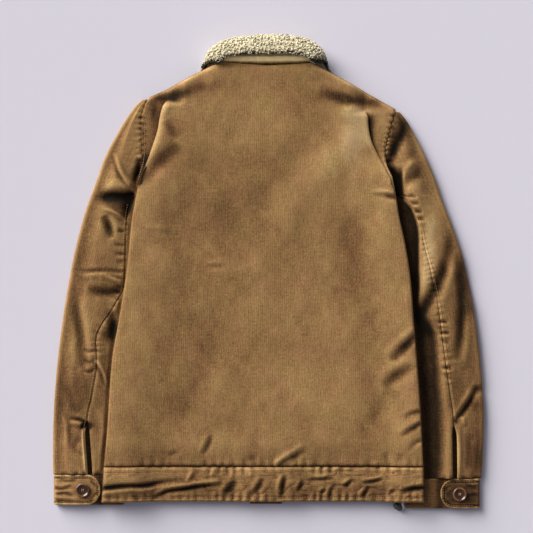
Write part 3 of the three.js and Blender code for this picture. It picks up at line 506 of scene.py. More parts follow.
backFolds = {
    "thickness": 1.6,
    "overhang": 4.8,  # how far the loose fold at an armhole hangs over the cloth below it
    "rightDrop": 5.0,  # the right shoulder's loose fold lies flatter than the left one
    "loft": 19.6, "raisedLoft": 26,  # the height of its middle, and over the sleeves and the collar
    "length": 590, "edgeRoll": 9,  # from hem to shoulder, and how far in its edges are rolled
    "foldTop": {-1: (260, 242), 1: (243, 227)},  # the loose folds begin between these heights
    # tones on the left and on the right: along the side seams, painted shade on the left and a paler rubbed
    # edge with painted highlight on the right; and painted shade under the loose folds
    "sideTone": (-0.06, 0.08), "footShade": (0.18, 0.6), "brinkTone": 0.1,
    "lumps": [(0.9, 34, 46, 3), (0.3, 13, 19, 4)],
    # line, spacing, height, reach and seed
    "hemPuckers": ([(-241, hemSeamY), (227, hemSeamY)], 15, 1.1, 10, 5),
    "armholePuckers": {-1: ([(-174, 256), (-186, 226), (-186, 190), (-185, 160)], 8.5, 1.5, 9, 11),
                       1: ([(186, 238), (178, 205), (171, 180), (175, 155)], 8, 1.3, 6, 13)},
    "creases": [
        # shoulders: a hollow over each loose fold, and the fold's own rounded top
        crease([(-174, 256), (-158, 257), (-140, 260), (-116, 267), (-90, 275)], 8, -4.4, ends=(1, 0)),
        crease([(-156, 228), (-150, 244), (-139, 250), (-118, 248)], 7, 3.0),
        crease([(74, 266), (98, 257), (118, 251), (140, 249), (164, 250)], 9, -3.8, ends=(0, 0.4)),
        crease([(92, 226), (116, 236), (138, 240), (150, 234)], 13, 1.2),
        # beside the left fold
        crease([(-178, 140), (-163, 158), (-146, 174), (-132, 188)], 11, -3.6, lip=0.2, ends=(0.5, 0)),
        crease([(-150, 222), (-141, 208), (-132, 196)], 8, -1.6),
        # drag lines and dents in the middle
        crease([(122, 214), (70, 140), (18, 60)], 30, 3.0),
        crease([(84, 236), (30, 160), (-10, 90)], 22, -1.6),
        crease([(-66, 120), (-56, 66), (-36, 10)], 24, -1.6),
        crease([(-160, -215), (-122, -190), (-90, -140)], 24, -1.6),
        crease([(-50, -40), (-84, -110), (-116, -160)], 22, -1.0),
        crease([(-177, 67), (-128, 65)], 3.4, 0.5, lip=-0.6, ends=(1, 0)),
        crease([(-92, 9), (-62, 10)], 3.2, -1.0, lip=0.5),
        crease([(150, 120), (182, 117)], 3.2, 1.8, lip=-0.7, ends=(0, 1)),
        crease([(172, 112), (188, 108)], 3.0, -2.2, ends=(0, 1)),
        # near the hem
        crease([(-97, -268), (-88, -252), (-84, -238)], 4, -2.2, lip=0.5),
        crease([(18, -284), (34, -273), (56, -258)], 4.5, -3.2, lip=0.7, ends=(1, 0)),
        crease([(-150, -268), (-132, -262)], 4, -1.2),
        crease([(-30, -276), (-18, -268)], 3.6, -1.2),
        # slack at the right side, pulled into the side seam and the corner
        crease([(178, -130), (191, -118), (202, -107), (217, -94)], 6.5, -4.4, lip=0.4, ends=(0, 1)),
        crease([(168, -168), (186, -153), (206, -141)], 8, -2.6, lip=0.4, ends=(0, 0.4)),
        crease([(150, -226), (164, -196), (186, -170)], 12, -1.6),
        crease([(194, -240), (208, -230), (222, -222)], 3.6, -2.6, lip=0.5, ends=(0, 1)),
        crease([(196, -214), (210, -206), (221, -204)], 3.6, -2.0, lip=0.4, ends=(0, 1)),
        crease([(204, -262), (214, -250), (224, -246)], 3.4, -2.2, ends=(0, 1)),
        crease([(170, -284), (172, -262)], 3.2, -1.8, ends=(1, 0)),
        crease([(190, -284), (194, -264)], 3.2, -2.0, ends=(1, 0)),
        # broad swells and hollows
        crease([(-168, 40), (-150, -60), (-172, -180)], 26, 1.4),
        crease([(100, -30), (120, -130), (104, -230)], 30, 1.3),
        crease([(-30, 280), (-36, 190)], 30, -1.0),
    ],
    # patches painted paler (above 0) or darker: mostly painted shade in the hollows and painted light on the
    # folds, with some uneven fading; x, y, radius across and along, strength
    "patches": [
        (-160, 257, 12, 7, -0.34), (-142, 257, 14, 8, -0.34), (-122, 261, 18, 8, -0.34),
        (-98, 270, 18, 8, -0.2), (-80, 276, 20, 9, -0.1), (-168, 238, 6, 16, -0.34),
        (-140, 210, 14, 20, -0.12), (-134, 178, 16, 12, -0.1), (92, 260, 20, 10, -0.14),
        (112, 255, 20, 9, -0.2), (134, 250, 18, 7, -0.2), (156, 250, 12, 6, -0.3), (130, 236, 15, 8, 0.3),
        (143, 235, 8, 7, 0.2), (130, 192, 24, 46, 0.38), (96, 120, 50, 60, 0.1), (166, 226, 8, 16, 0.2),
        (160, 120, 20, 50, 0.1), (-154, 166, 16, 14, -0.18), (-60, 66, 30, 46, -0.07),
        (60, 120, 40, 60, 0.05), (-132, -190, 34, 36, -0.04), (30, -170, 90, 60, 0.07),
        (-170, 60, 24, 60, 0.08), (0, -60, 120, 60, 0.03), (110, 40, 26, 60, -0.06),
        (60, 250, 50, 24, -0.06), (-190, -120, 22, 90, 0.07), (-20, 236, 60, 40, 0.1),
        (200, -108, 14, 10, -0.2), (184, -150, 20, 12, -0.1), (206, -240, 16, 40, -0.08),
        (130, 226, 20, 12, 0.12), (-140, 236, 16, 10, 0.1), (-70, -110, 60, 40, -0.06),
        (180, 60, 20, 70, 0.05),
    ],
}
# painted shade of small dents along the left armhole's seam, on both of its sides
dentPlaces = [(-187, 228), (-186, 219), (-187, 211), (-185, 203), (-187, 195), (-185, 187), (-187, 179),
              (-185, 170), (-184, 162)]
dents = [(dentX, dentY, 3.4, 2.0, -0.5) for dentX, dentY in dentPlaces]
footU, brinkU = 0.06, 0.12  # shares of the width at which a loose fold has its foot and its brink


def footX(side, y):
    return bodySeam[side](y) - side * (bodyShelf[side](y) + 2.5)


def brinkX(side, y):
    return footX(side, y) - side * 6.5


def straightX(x, topX, top):
    return lambda y: mix(x, topX, (y - hemSeamY) / (top - hemSeamY))


# lines from the hem to the shoulders: share of the width, x as a function of y, and top
bodyColumns = [
    (0.0, lambda y: bodySeam[-1](y), shoulderY[-1]), (footU, lambda y: footX(-1, y), 270),
    (brinkU, lambda y: brinkX(-1, y), 274), (0.3, straightX(-115, neckLeft, 312), 312),
    (0.5, straightX(middleX, middleX, neckY - 1), neckY - 1), (0.7, straightX(112, neckRight, 308.5), 308.5),
    (1 - brinkU, lambda y: brinkX(1, y), 268), (1 - footU, lambda y: footX(1, y), 264),
    (1.0, lambda y: bodySeam[1](y), shoulderY[1]),
]
columnUs = np.array([c[0] for c in bodyColumns])


def bodyPlace(u, v):  # both of one shape: u from the left seam to the right, v from hem to shoulder
    ys = [mix(hemSeamY + seam, top, v) for _, _, top in bodyColumns]
    xs = np.stack([read(y) for (_, read, _), y in zip(bodyColumns, ys)])
    i = np.clip(np.searchsorted(columnUs, u, side="right") - 1, 0, len(columnUs) - 2)
    t = (u - columnUs[i]) / (columnUs[i + 1] - columnUs[i])
    pick = lambda table, k: np.take_along_axis(table, k[None], 0)[0]
    return [mix(pick(table, i), pick(table, i + 1), t) for table in (xs, np.stack(ys))]


def loftHeight(x, y):  # the back's upper side, lofty over the sleeves and the collar
    near = np.where(x < middleX, x - bodySeam[-1](y), bodySeam[1](y) - x)
    nearSide = ramp(90, 8, near) * ramp(262, 236, y)
    nearNeck = ramp(60, 215, y) * ramp(185, 110, np.abs(x))
    nearHem = ramp(hemSeamY + 40, hemSeamY, y)
    raised = 1 - (1 - nearSide) * (1 - nearNeck)
    level = mix(backFolds["loft"], backFolds["raisedLoft"], raised) - 3 * nearHem
    level -= backFolds["rightDrop"] * ramp(112, 160, x) * ramp(140, 180, y) * ramp(266, 245, y)
    height = level + creaseHeight(x, y, backFolds["creases"]) + lumpHeight(x, y, backFolds["lumps"])
    height = height + puckers(x, y, *backFolds["hemPuckers"]) - 1.5 * bell(y - neckY + 1, 5)
    return np.maximum(height, bed(x, y) + 2 * layers["panel"] + seam - 3.2)


def backSurface(u, v):
    x, y = bodyPlace(u, v)
    side = np.where(u < 0.5, -1, 1)
    fromSide = np.minimum(u, 1 - u)
    under = bed(x, y) + layers["panel"] + seam
    shelfZ = under + layers["panel"]
    inArmhole = ramp(underarmY + 4, underarmY + 30, y)
    seamZ = mix(under + 0.3 * layers["panel"], shelfZ, inArmhole)
    fold = np.where(side < 0, *(ramp(*backFolds["foldTop"][s], y) for s in bothSides))
    lofty = loftHeight(x, y)
    spread = ramp(mix(0.03, 0.12, fold), mix(0.24, 0.2, fold), fromSide)  # above the fold it slopes gently
    ridgeZ = mix(np.minimum(shelfZ, lofty), lofty, np.maximum(fold, spread))
    groove = np.where(side < 0, 1, ramp(240, 226, y))  # on the right it starts below the fold's top
    footZ = mix(mix(shelfZ, ridgeZ, 0.6), shelfZ - 0.8 * fold, groove)
    t = np.clip((fromSide - footU) / (brinkU - footU), 0, 1)
    toFoot, toBrink = mix(seamZ, footZ, fromSide / footU), mix(footZ, ridgeZ, np.sin(t * pi / 2))
    plain = mix(seamZ, ridgeZ, rolled(fromSide / brinkU))
    folded = np.where(fromSide < footU, toFoot, toBrink)
    z = np.where(fromSide < brinkU, mix(plain, folded, inArmhole), ridgeZ)
    ripples = sum(puckers(x, y, *backFolds["armholePuckers"][s]) for s in bothSides)
    z = z + ripples * ramp(150, 170, y)
    rim = np.minimum((1 - v) * backFolds["length"], v * backFolds["length"] + 2)
    z = under + (z - under) * (0.3 + 0.7 * rolled(rim / backFolds["edgeRoll"]))
    hang = backFolds["overhang"] * np.sin(pi * t) * inArmhole * fold * groove * (fromSide < brinkU)
    return np.stack([x + side * hang, y, z], -1)


def backTone(u, v, x, y):
    left, fromSide = u < 0.5, np.minimum(u, 1 - u)
    toSide = np.where(x < middleX, x - bodySeam[-1](y), bodySeam[1](y) - x)
    sideTone, footShade = (np.where(left, *backFolds[key]) for key in ("sideTone", "footShade"))
    # darker along the hem seam: painted shade in its crevice
    tone = sideTone * bell(toSide, 4) * ramp(150, 120, y) - 0.14 * bell(y - hemSeamY, 3)
    foldEnds = np.where(left, ramp(262, 246, y), ramp(238, 222, y))
    # the loose folds' brinks are paler, rubbed and with painted highlight, and the cloth under them gets
    # painted shade
    tone += backFolds["brinkTone"] * bell(fromSide - 0.105, 0.012) * ramp(120, 150, y) * foldEnds
    shade = footShade * np.where(left, ramp(150, 190, y), ramp(130, 150, y))
    tone -= shade * bell(fromSide - np.where(left, 0.066, 0.054), 0.011) * foldEnds
    # painted highlight along the back's top edge
    tone += 0.2 * ramp(0.988, 0.997, v)
    tone -= 0.5 * ramp(0.09, 0.08, u) * ramp(182, 164, y) * ramp(122, 132, y)  # painted shade at the left fold's lower end
    return patchTone(x, y, backFolds["patches"]) + (tone + patchTone(x, y, dents))


halfAcross = across((0, footU, 9), (footU, brinkU, 8), (brinkU, 0.3, 28), (0.3, 0.5, 36))
backUs = np.concatenate([halfAcross, 1 - halfAcross[::-1][1:]])
centre = int(np.argmin(np.abs(backUs - 0.5)))
u, v = np.meshgrid(backUs, across((0, 0.02, 6), (0.02, 0.98, 208), (0.98, 1, 6)))
grid = backSurface(u, v)
x, y, z = np.moveaxis(grid, 2, 0)
backUv = np.stack([arcLengths(grid, 1, centre) + middleX, y], -1)
back = shell("backPanelCorduroy", grid, backFolds["thickness"], backUv, corduroy, (100, centre),
             wear=wearFrom(z, backTone(u, v, x, y)))
finishPiece(back, "corduroy", "back_panel")
print("back panel made")


# Fronts and placket, on the side that the jacket lies on

frontCloth = {"thickness": 1.6, "columns": 44, "rows": 100, "rolledShare": 0.03}
placketCloth = {"bottom": -341, "top": 212, "columns": 17, "rows": 90, "edge": 0.9}
# the pieces that lie underneath get a darker tone: painted shade
hiddenWearAndShade = 0.45


def neckDepth(x):  # the front neckline: half an ellipse between the neck points
    t = np.clip((x - neckMiddle) / ((neckRight - neckLeft) / 2 + 2), -1, 1)
    return neckY + 2 - frontNeckDrop * np.sqrt(1 - t * t)


def frontSurface(side, s, v):  # s from the side seam (0) to the middle (1)
    x, y = bodyPlace(0.5 * s if side < 0 else 1 - 0.5 * s, v)
    x = np.where(s >= 0.999, x + side * seam, x)
    limit = np.where(np.abs(x - neckMiddle) < 66, neckDepth(x), 1e3)
    y = np.minimum(y, mix(y, limit, ramp(0.5, 1, v)))
    lift = mix(0.8 * layers["panel"], 0, rolled(s / frontCloth["rolledShare"]))
    return np.stack([x, y, bed(x, y) + lift * ramp(underarmY + 60, underarmY + 20, y)], -1)


frontSteps = across((0, frontCloth["rolledShare"], 6), (frontCloth["rolledShare"], 1, frontCloth["columns"]))
for side in bothSides:
    outer = frontSurface(side, *np.meshgrid(frontSteps, across((0, 1, frontCloth["rows"]))))
    inner = outer + np.array([0, 0, frontCloth["thickness"]])
    front = wallMesh(f"front{sideTitle[side]}Corduroy", outer, inner, outer[..., :2], corduroy,
                     wear=wearFrom(-outer[..., 2]))
    finishPiece(front, "corduroy", f"front_{sideName[side]}")

s, v = np.meshgrid(np.linspace(-1, 1, placketCloth["columns"]), np.linspace(0, 1, placketCloth["rows"]))
edge = placketCloth["edge"] * np.abs(s) ** 8
low = np.stack([middleX + s * placketHalf, mix(placketCloth["bottom"], placketCloth["top"], v), edge], -1)
high = low + np.stack([0 * s, 0 * s, layers["placket"] - 2 * edge], -1)
placket = wallMesh("placketCorduroy", high, low, low[..., :2], corduroy, wear=hiddenWearAndShade + 0 * s)
finishPiece(placket, "corduroy", "front_placket")
print("fronts made")


# Hem band

bandFolds = {
    "thickness": 1.6,
    "roll": 4.0,  # the fold along its lower edge
    "height": 51.4,
    "length": 470,
    "tone": -0.06,
    "lumps": [(0.5, 16, 12, 25)],
    # line, spacing, height, reach and seed
    "puckers": [([(-241, hemSeamY - 3), (227, hemSeamY - 3)], 14, 1.7, 8, 21),
                ([(-243, hemY + 5), (228, hemY + 5)], 13, 1.5, 8, 23)],
    "wrinkles": (14, 8, 1.5, 27),  # size across, size along, height and seed
    "creases": [
        # two long valleys on the left, then short folds pulled towards the lower left
        crease([(-243, -317), (-209, -313), (-181, -313), (-162, -309), (-147, -307), (-122, -305)],
               3.6, -4.8, lip=-0.4, ends=(1, 0)),
        crease([(-169, -332), (-156, -325), (-144, -321), (-122, -318), (-106, -315), (-88, -313),
                (-68, -311)], 3.2, -4.0, lip=0.6),
        crease([(-47, -306), (-56, -316), (-64, -328)], 5, -2.6, lip=-0.5),
        crease([(-8, -302), (-14, -314), (-26, -328)], 4, -2.2, lip=-0.8),
        crease([(25, -297), (21, -314), (18, -334)], 3.6, -3.0, lip=-0.8),
        crease([(52, -306), (42, -322)], 3, -2.2, lip=-0.6),
        crease([(59, -305), (78, -304), (98, -302)], 2.8, -2.4, lip=0.6),
        crease([(85, -318), (76, -325)], 2.8, -2.0, lip=-0.6),
        crease([(100, -310), (92, -320), (90, -332)], 3, -1.8, lip=-0.5),
        crease([(123, -305), (111, -316)], 3, -2.6, lip=-0.6),
        crease([(169, -303), (154, -307), (138, -309)], 2.8, -2.8, lip=-0.6),
        crease([(148, -315), (137, -331)], 3.2, -2.6, lip=-0.6),
        crease([(186, -317), (174, -328)], 2.8, -1.8, lip=-0.5),
        crease([(228, -315), (210, -317), (194, -323)], 3.6, -4.6, lip=-0.3, ends=(1, 0)),
        # ridges where the seam gathers the cloth, and a dent
        crease([(-111, -289), (-116, -299), (-120, -308)], 3, 2.2),
        crease([(-82, -289), (-84, -301)], 3, 1.8),
        crease([(-53, -289), (-55, -302)], 3, 2.0),
        crease([(-25, -289), (-27, -300)], 3, 1.6),
        crease([(-200, -326), (-190, -335)], 3, -1.6, lip=-0.5),
    ],
    # patches painted darker along the creases' valleys as painted shade, and one paler stretch: x, y, radius
    # across and along, strength
    "patches": [
        (-226, -315, 22, 4, -0.26), (-180, -313, 30, 3, -0.14), (-110, -317, 26, 4, -0.2),
        (-57, -318, 10, 9, -0.2), (214, -317, 16, 4, -0.3), (-200, -300, 60, 7, 0.1),
        (120, -325, 60, 8, -0.05),
    ],
}


def wrinkles(x, y, sizeX, sizeY, height, seed):  # fine sharp creases with rounded cloth between them
    bent = softNoise(x, y, 2.3 * sizeX, 2.3 * sizeY, seed + 1)
    ridge = 1 - np.abs(softNoise(x + 0.5 * sizeX * bent, y + 0.5 * sizeY * bent, sizeX, sizeY, seed))
    return -height * ridge ** 6 * (0.5 + 0.5 * softNoise(x, y, 3 * sizeX, 3 * sizeY, seed + 2))


def bandPlace(u, y):
    left, right = bodySeam[-1](y) - 1, bodySeam[1](y) + 1
    return np.where(u < 0.5, mix(left, middleX, 2 * u), mix(middleX, right, 2 * u - 1))


def bandSurface(u, w):  # w is mm up from the lower fold; below 0 it has turned under
    radius = bandFolds["roll"]
    angle = np.clip(w / radius, -1, 1) * pi / 2  # -90 underneath, 0 at the fold, 90 on top
    y = np.where(w < radius, hemY + radius * (1 - np.cos(angle)), hemY + w)
    x = bandPlace(u, y)
    ends = np.minimum(u, 1 - u) * bandFolds["length"]
    loft = layers["band"] + 1.5 + creaseHeight(x, y, bandFolds["creases"])
    gathered = mix(0.45, 1, ramp(-150, -20, x))  # the band is drawn in more towards the cord's stop
    for row in bandFolds["puckers"]:
        loft += gathered * puckers(x, y, *row)
    loft += lumpHeight(x, y, bandFolds["lumps"]) - 1.3 * bell(y - hemSeamY, 3.5)
    loft += gathered * wrinkles(x, y, *bandFolds["wrinkles"])
    loft -= 0.8 * bell(y - hemY - 7, 2.2) + 0.7 * bell(y - hemSeamY + 7, 2.0)  # the stitched grooves
    loft = np.maximum(loft, 1.6) * (0.35 + 0.65 * rolled(ends / 6))
    rise = np.where(w < radius, loft / 2 + loft / 2 * np.sin(angle), loft)
    return np.stack([x, y, bed(x, y) + layers["band"] + seam + rise], -1)


def bandTone(x, y):  # paler along both edges, rubbed and with painted highlight; darker in its lower half
    tone = 0.2 * bell(y - hemSeamY + 3, 3) + bandFolds["tone"] - 0.1 * ramp(-302, -316, y)
    return patchTone(x, y, bandFolds["patches"]) + (tone + 0.14 * bell(y - hemY, 3))


roll, height = bandFolds["roll"], bandFolds["height"]
bandUs = across((0, 0.02, 5), (0.02, 0.98, 220), (0.98, 1, 5))
u, w = np.meshgrid(bandUs, across((-roll, roll, 12), (roll, height, 34)))
grid = bandSurface(u, w)
x, y, z = np.moveaxis(grid, 2, 0)
band = shell("hemBandBackCorduroy", grid, bandFolds["thickness"], np.stack([arcLengths(grid, 0, 12), x], -1),
             corduroy, (40, 100), wear=wearFrom(z, bandTone(x, y)))
finishPiece(band, "corduroy", "hem_band_back")

for side in bothSides:
    ends = (0, 0.5) if side < 0 else (0.5, 1)
    u, w = np.meshgrid(np.linspace(*ends, 80), np.linspace(0, height, 18))
    y = hemY + w
    x = bandPlace(u, y)
    rim = 1.6 * np.exp(-w / 2.5)
    low = np.stack([x, y, bed(x, y) + rim], -1)
    high = np.stack([x, y, bed(x, y) + layers["band"] - rim], -1)
    piece = wallMesh(f"hemBandFront{sideTitle[side]}Corduroy", high, low, np.stack([y, x], -1),
                     corduroy, wear=hiddenWearAndShade + 0 * u)
    finishPiece(piece, "corduroy", f"hem_band_front_{sideName[side]}")
print("hem band made")


# Sleeves

sleeveFolds = {
    "thickness": 1.6,
    "crown": {-1: 4.5, 1: 8.5},  # how much higher the slack cloth stands between its edges
    "lean": {-1: 0.9, 1: 1.5},  # above 1, the highest place is nearer the body
    # painted shade along each sleeve's outer roll
    "outerTone": {-1: -0.2, 1: -0.16},
    # along the seam on top: paler tone of its edge, rubbed and with painted highlight; how much more beside
    # the slit, painted highlight; and its width
    "seamTone": {-1: (0.16, 0.8, 0.07), 1: (0.16, 0.2, 0.045)},
    "lumps": {-1: [(0.6, 22, 34, 30), (0.35, 9, 13, 32)], 1: [(0.6, 22, 34, 32), (0.35, 9, 13, 34)]},
    # line, spacing, height, reach and seed: along the seam on top, and along the armhole
    "puckers": {
        -1: [([(-207, 84), (-207, 50), (-210, 12), (-212, -14), (-226, -48), (-250, -88), (-252, -130)],
              9, 1.1, 8, 34),
             ([(-176, 256), (-187, 226), (-187, 190), (-185, 160)], 8.5, 1.4, 8, 36)],
        1: [([(210, 94), (228, 36), (240, -4), (250, -56), (258, -112), (266, -170)], 9, 1.1, 8, 36),
            ([(188, 238), (180, 205), (173, 180), (177, 155)], 8.5, 1.4, 8, 38)],
    },
    "creases": {
        -1: [
            crease([(-187, 168), (-191, 147), (-197, 122)], 5.5, -8.0),
            crease([(-228, 180), (-221, 161), (-214, 145), (-204, 131), (-195, 126)], 3.2, 3.2, lip=-0.8),
            crease([(-248, 112), (-228, 112), (-196, 109)], 8.5, -9, lip=0.3, ends=(0.2, 1)),
            crease([(-201, 112), (-205, 97), (-210, 80)], 7, -8, ends=(1, 0.2)),
            crease([(-241, 94), (-225, 87), (-210, 75)], 2.2, 5.0, ends=(0, 0.5)),
            crease([(-241, 84), (-235, 68), (-230, 50)], 6, -4.6, lip=0.3),
            crease([(-222, 62), (-210, 59)], 3, -2.4),
            crease([(-228, 41), (-212, 40)], 2.6, -1.8, ends=(0, 1)),
            crease([(-226, 28), (-212, 27)], 2.6, -1.8, ends=(0, 1)),
            crease([(-224, 16), (-213, 14)], 2.6, -1.8, ends=(0, 1)),
            crease([(-294, 5), (-270, 2), (-238, 3), (-212, 0)], 3.4, -2.2, lip=-0.6, ends=(1, 0.4)),
            crease([(-240, -6), (-222, -12), (-212, -18)], 2.8, 2.2, lip=0.7),
            crease([(-266, -24), (-240, -30), (-214, -26)], 7, -4.0, ends=(0, 1)),
            crease([(-291, -30), (-284, -58), (-276, -90), (-272, -124), (-270, -142)], 8, -4.8, lip=0.35),
            crease([(-230, -66), (-226, -84), (-222, -100)], 8, -6.5, ends=(0.3, 0.6)),
            crease([(-254, -128), (-244, -142), (-235, -167)], 2.8, 2.6, lip=-0.7),
            crease([(-272, -128), (-262, -132), (-254, -128)], 2.6, -1.8),
            crease([(-274, -142), (-263, -146), (-254, -142)], 2.6, -1.8),
            crease([(-272, -112), (-262, -116), (-250, -112)], 2.6, -1.6),
            crease([(-298, -166), (-286, -196), (-276, -206)], 7, -2.2),
            crease([(-292, -214), (-276, -217), (-266, -222)], 3, -3.2, lip=-0.9, ends=(0, 0.5)),
            crease([(-275, -224), (-264, -227)], 4.2, -6.0, ends=(0, 1)),
            crease([(-306, -208), (-298, -226), (-296, -262)], 4, 1.8, lip=0.4),
            crease([(-276, -240), (-284, -258), (-272, -270)], 5, -1.8),
            crease([(-273, -229), (-271, -262), (-268, -297)], 2.2, 2.6),
            crease([(-300, 60), (-262, 40)], 10, 1.8),
            crease([(-270, 70), (-262, 96)], 8, 1.4),
            crease([(-250, -200), (-240, -230), (-244, -268)], 6, 1.4),
        ],
        1: [
            crease([(196, 232), (199, 210), (190, 188), (178, 166)], 7, -5.5, ends=(0.4, 0.4)),
            crease([(222, 216), (216, 196), (206, 176)], 7, 2.4),
            crease([(200, 130), (214, 141), (233, 151)], 8, -3.2, lip=0.4, ends=(0.6, 0)),
            crease([(200, 150), (212, 160), (226, 164)], 6, 2.6),
            crease([(205, 112), (217, 111)], 2.6, -2.2, lip=-0.6),
            crease([(209, 101), (222, 101)], 2.6, -2.2, lip=-0.6),
            crease([(214, 90), (226, 88)], 2.6, -2.4, lip=-0.6),
            crease([(218, 79), (230, 77)], 2.6, -1.8, lip=-0.6),
            crease([(268, 34), (262, 16), (254, -3), (246, -23), (233, -45), (221, -66)],
                   9, -6.4, lip=0.2, ends=(0.2, 0.8)),
            crease([(283, 22), (288, -30), (285, -80), (277, -130)], 7.5, -6.5, lip=0.35),
            crease([(250, -72), (264, -74)], 2.6, -2.4, lip=-0.6),
            crease([(252, -88), (266, -90)], 2.6, -2.6, lip=-0.6),
            crease([(254, -101), (266, -104)], 2.6, -2.2, lip=-0.6),
            crease([(254, -140), (270, -142)], 2.8, -2.6, lip=-0.6),
            crease([(256, -152), (270, -156)], 2.6, -2.0, lip=-0.6),
            crease([(315, -164), (303, -180), (292, -196), (276, -218)],
                   4.6, -5.6, lip=-0.35, ends=(1, 0.3)),
            crease([(276, -218), (284, -214), (290, -224)], 2.8, 2.6),
            crease([(300, -236), (296, -262), (300, -288)], 6, -2.0),
            crease([(280, -226), (281, -262), (281, -296)], 3, 2.0),
            crease([(236, 152), (256, 100), (266, 50)], 8, 1.8),
        ],
    },
    # patches painted paler (above 0) or darker: mostly painted shade in the hollows and painted light on the
    # ridges; x, y, radius across and along, strength
    "patches": {
        -1: [
            (-226, 111, 20, 7, -0.42), (-206, 100, 9, 18, -0.55), (-238, 106, 10, 8, -0.3),
            (-220, 100, 14, 9, -0.5), (-282, -80, 40, 130, -0.03), (-236, 66, 7, 13, -0.22),
            (-190, 146, 6, 14, -0.35), (-280, -60, 8, 26, -0.14), (-227, -84, 9, 15, -0.55),
            (-238, -92, 8, 8, -0.3), (-240, -26, 26, 9, -0.18), (-268, -225, 8, 4, -0.9),
            (-258, -60, 10, 22, 0.14), (-262, -240, 4, 60, -0.15), (-290, -190, 30, 60, -0.2),
            (-250, -10, 40, 60, -0.08), (-240, -130, 18, 60, -0.06), (-240, 140, 22, 30, 0.04),
            (-300, 20, 12, 40, 0.08), (-296, -110, 12, 40, 0.06),
        ],
        1: [
            (196, 206, 10, 24, -0.42), (206, 224, 7, 14, -0.3), (182, 196, 8, 24, -0.36),
            (184, 174, 7, 14, -0.2), (218, 142, 14, 8, -0.08), (280, -44, 9, 56, -0.26),
            (256, 2, 7, 15, -0.3), (246, -22, 9, 15, -0.36), (234, -46, 12, 15, -0.42),
            (224, -62, 9, 10, -0.3), (232, -76, 9, 14, -0.36), (174, 157, 6, 10, -0.6),
            (181, 146, 6, 10, -0.8), (187, 134, 6, 11, -0.8), (308, -262, 6, 40, -0.14),
            (300, -196, 20, 9, -0.16), (266, 44, 7, 16, -0.2), (284, 10, 8, 18, -0.28),
            (290, -18, 8, 18, -0.3), (294, -50, 9, 18, -0.34), (236, 40, 11, 50, 0.34),
            (226, -16, 6, 22, 0.2), (246, 84, 12, 34, 0.18), (224, 184, 9, 26, 0.14),
            (214, 120, 9, 12, 0.1), (284, -262, 6, 36, 0.16), (304, -270, 12, 30, -0.18),
            (268, -190, 14, 26, -0.1),
        ],
    },
}
# on the right, the strip that lies low beside the body, in the shade: y, where it ends, and how
# wide the rise beyond it is
lowStripRows = [
    (124, 194, 6), (106, 197, 6), (92, 208, 6), (64, 217, 6), (29, 218, 6), (4, 218, 6), (-18, 219, 6),
    (-45, 217, 7), (-62, 220, 9), (-76, 230, 13), (-92, 238, 15), (-140, 242, 17), (-200, 245, 20),
    (-250, 246, 22), (-303, 244, 22),
]
lowEnd, lowRise = column(lowStripRows, 1), column(lowStripRows, 2)


def lowStrip(side, y):
    if side < 0:
        return 1.5, 6
    return np.maximum(lowEnd(y) - bodySeam[1](y), 6), lowRise(y)


def sleeveTop(side, x, y):  # height of its upper layer
    outer, edge = sleeveOuter[side](y), bodySeam[side](y)
    w, width = side * (outer - x), np.maximum(8, side * (outer - edge))  # from the outer edge to the body
    arch = np.sin(pi * np.clip(w / width, 0, 1) ** sleeveFolds["lean"][side]) ** 1.2
    crown = sleeveFolds["crown"][side] * arch
    belowArm = ramp(underarmY + gusset + 20, underarmY + gusset, y)
    toArmhole = ramp(38, 0, width - w) * (1 - belowArm)
    low, rise = lowStrip(side, y)
    underBody = ramp(low + rise, low, width - w) * belowArm
    folds = creaseHeight(x, y, sleeveFolds["creases"][side]) * ramp(0, 10, w)
    lumps = lumpHeight(x, y, sleeveFolds["lumps"][side])
    ripple = sum(puckers(x, y, *row) for row in sleeveFolds["puckers"][side])
    ends = bell(y - cuffTopY[side], 4)
    gathers = 1.1 * ends * np.sin(x / 2.6 + 2 * softNoise(x, y, 20, 20, 39 + side))
    free = tubeHeight + crown + folds + lumps + ripple + gathers - 1.5 * ends
    atArmhole = 2 * layers["panel"] + seam + ripple + folds
    top = mix(mix(free, atArmhole, toArmhole), pressed + 0.3 * folds * ramp(0, 9, width - w), underBody)
    return np.maximum(top, 3.4)


def topSeam(side, y):
    return np.where(y > underarmY, bodySeam[side](y), sleeveElbow[side](y))


def slitHalf(side, y):
    return (slitWidth / 2) * ramp(slitTopY[side] + 6, slitTopY[side] - 14, y)


def tubeSurface(side, part, s, y):
    # s from 0 at the seam on top, 1 at the roll's start, 2 at its end, to 3 at the seam below
    upper = part == "upper"
    edge = sleeveOuter[side](y) if upper else sleeveInner[side](y)
    out = side if upper else -side
    joint = topSeam(side, y)
    topStart = joint + out * (0.12 + slitHalf(side, y))
    lowJoint = np.where(y > underarmY, joint, mix(sleeveOuter[side](y), sleeveInner[side](y), 0.6))
    lowStart = lowJoint + out * seam
    radius = np.minimum(sleeveTop(side, edge - out * 6, y), tubeHeight) / 2
    reach = edge - out * radius
    t = np.clip(s, 0, 1)
    topX = mix(topStart, reach, t)
    dip = 0.9 * bell(np.abs(topX - topStart), 2.2)  # the seam's own groove
    topZ = mix(sleeveTop(side, topX, y) - dip, 2 * radius, ramp(0.6, 1, t))
    angle = pi * (0.5 - np.clip(s - 1, 0, 1))
    rollX, rollZ = reach + out * radius * np.cos(angle), radius + radius * np.sin(angle)
    lowX = mix(reach, lowStart, np.clip(s - 2, 0, 1))
    x = np.where(s < 1, topX, np.where(s < 2, rollX, lowX))
    z = np.where(s < 1, topZ, np.where(s < 2, rollZ, 0.02))
    return np.stack([x, y + 0 * s, z], -1)


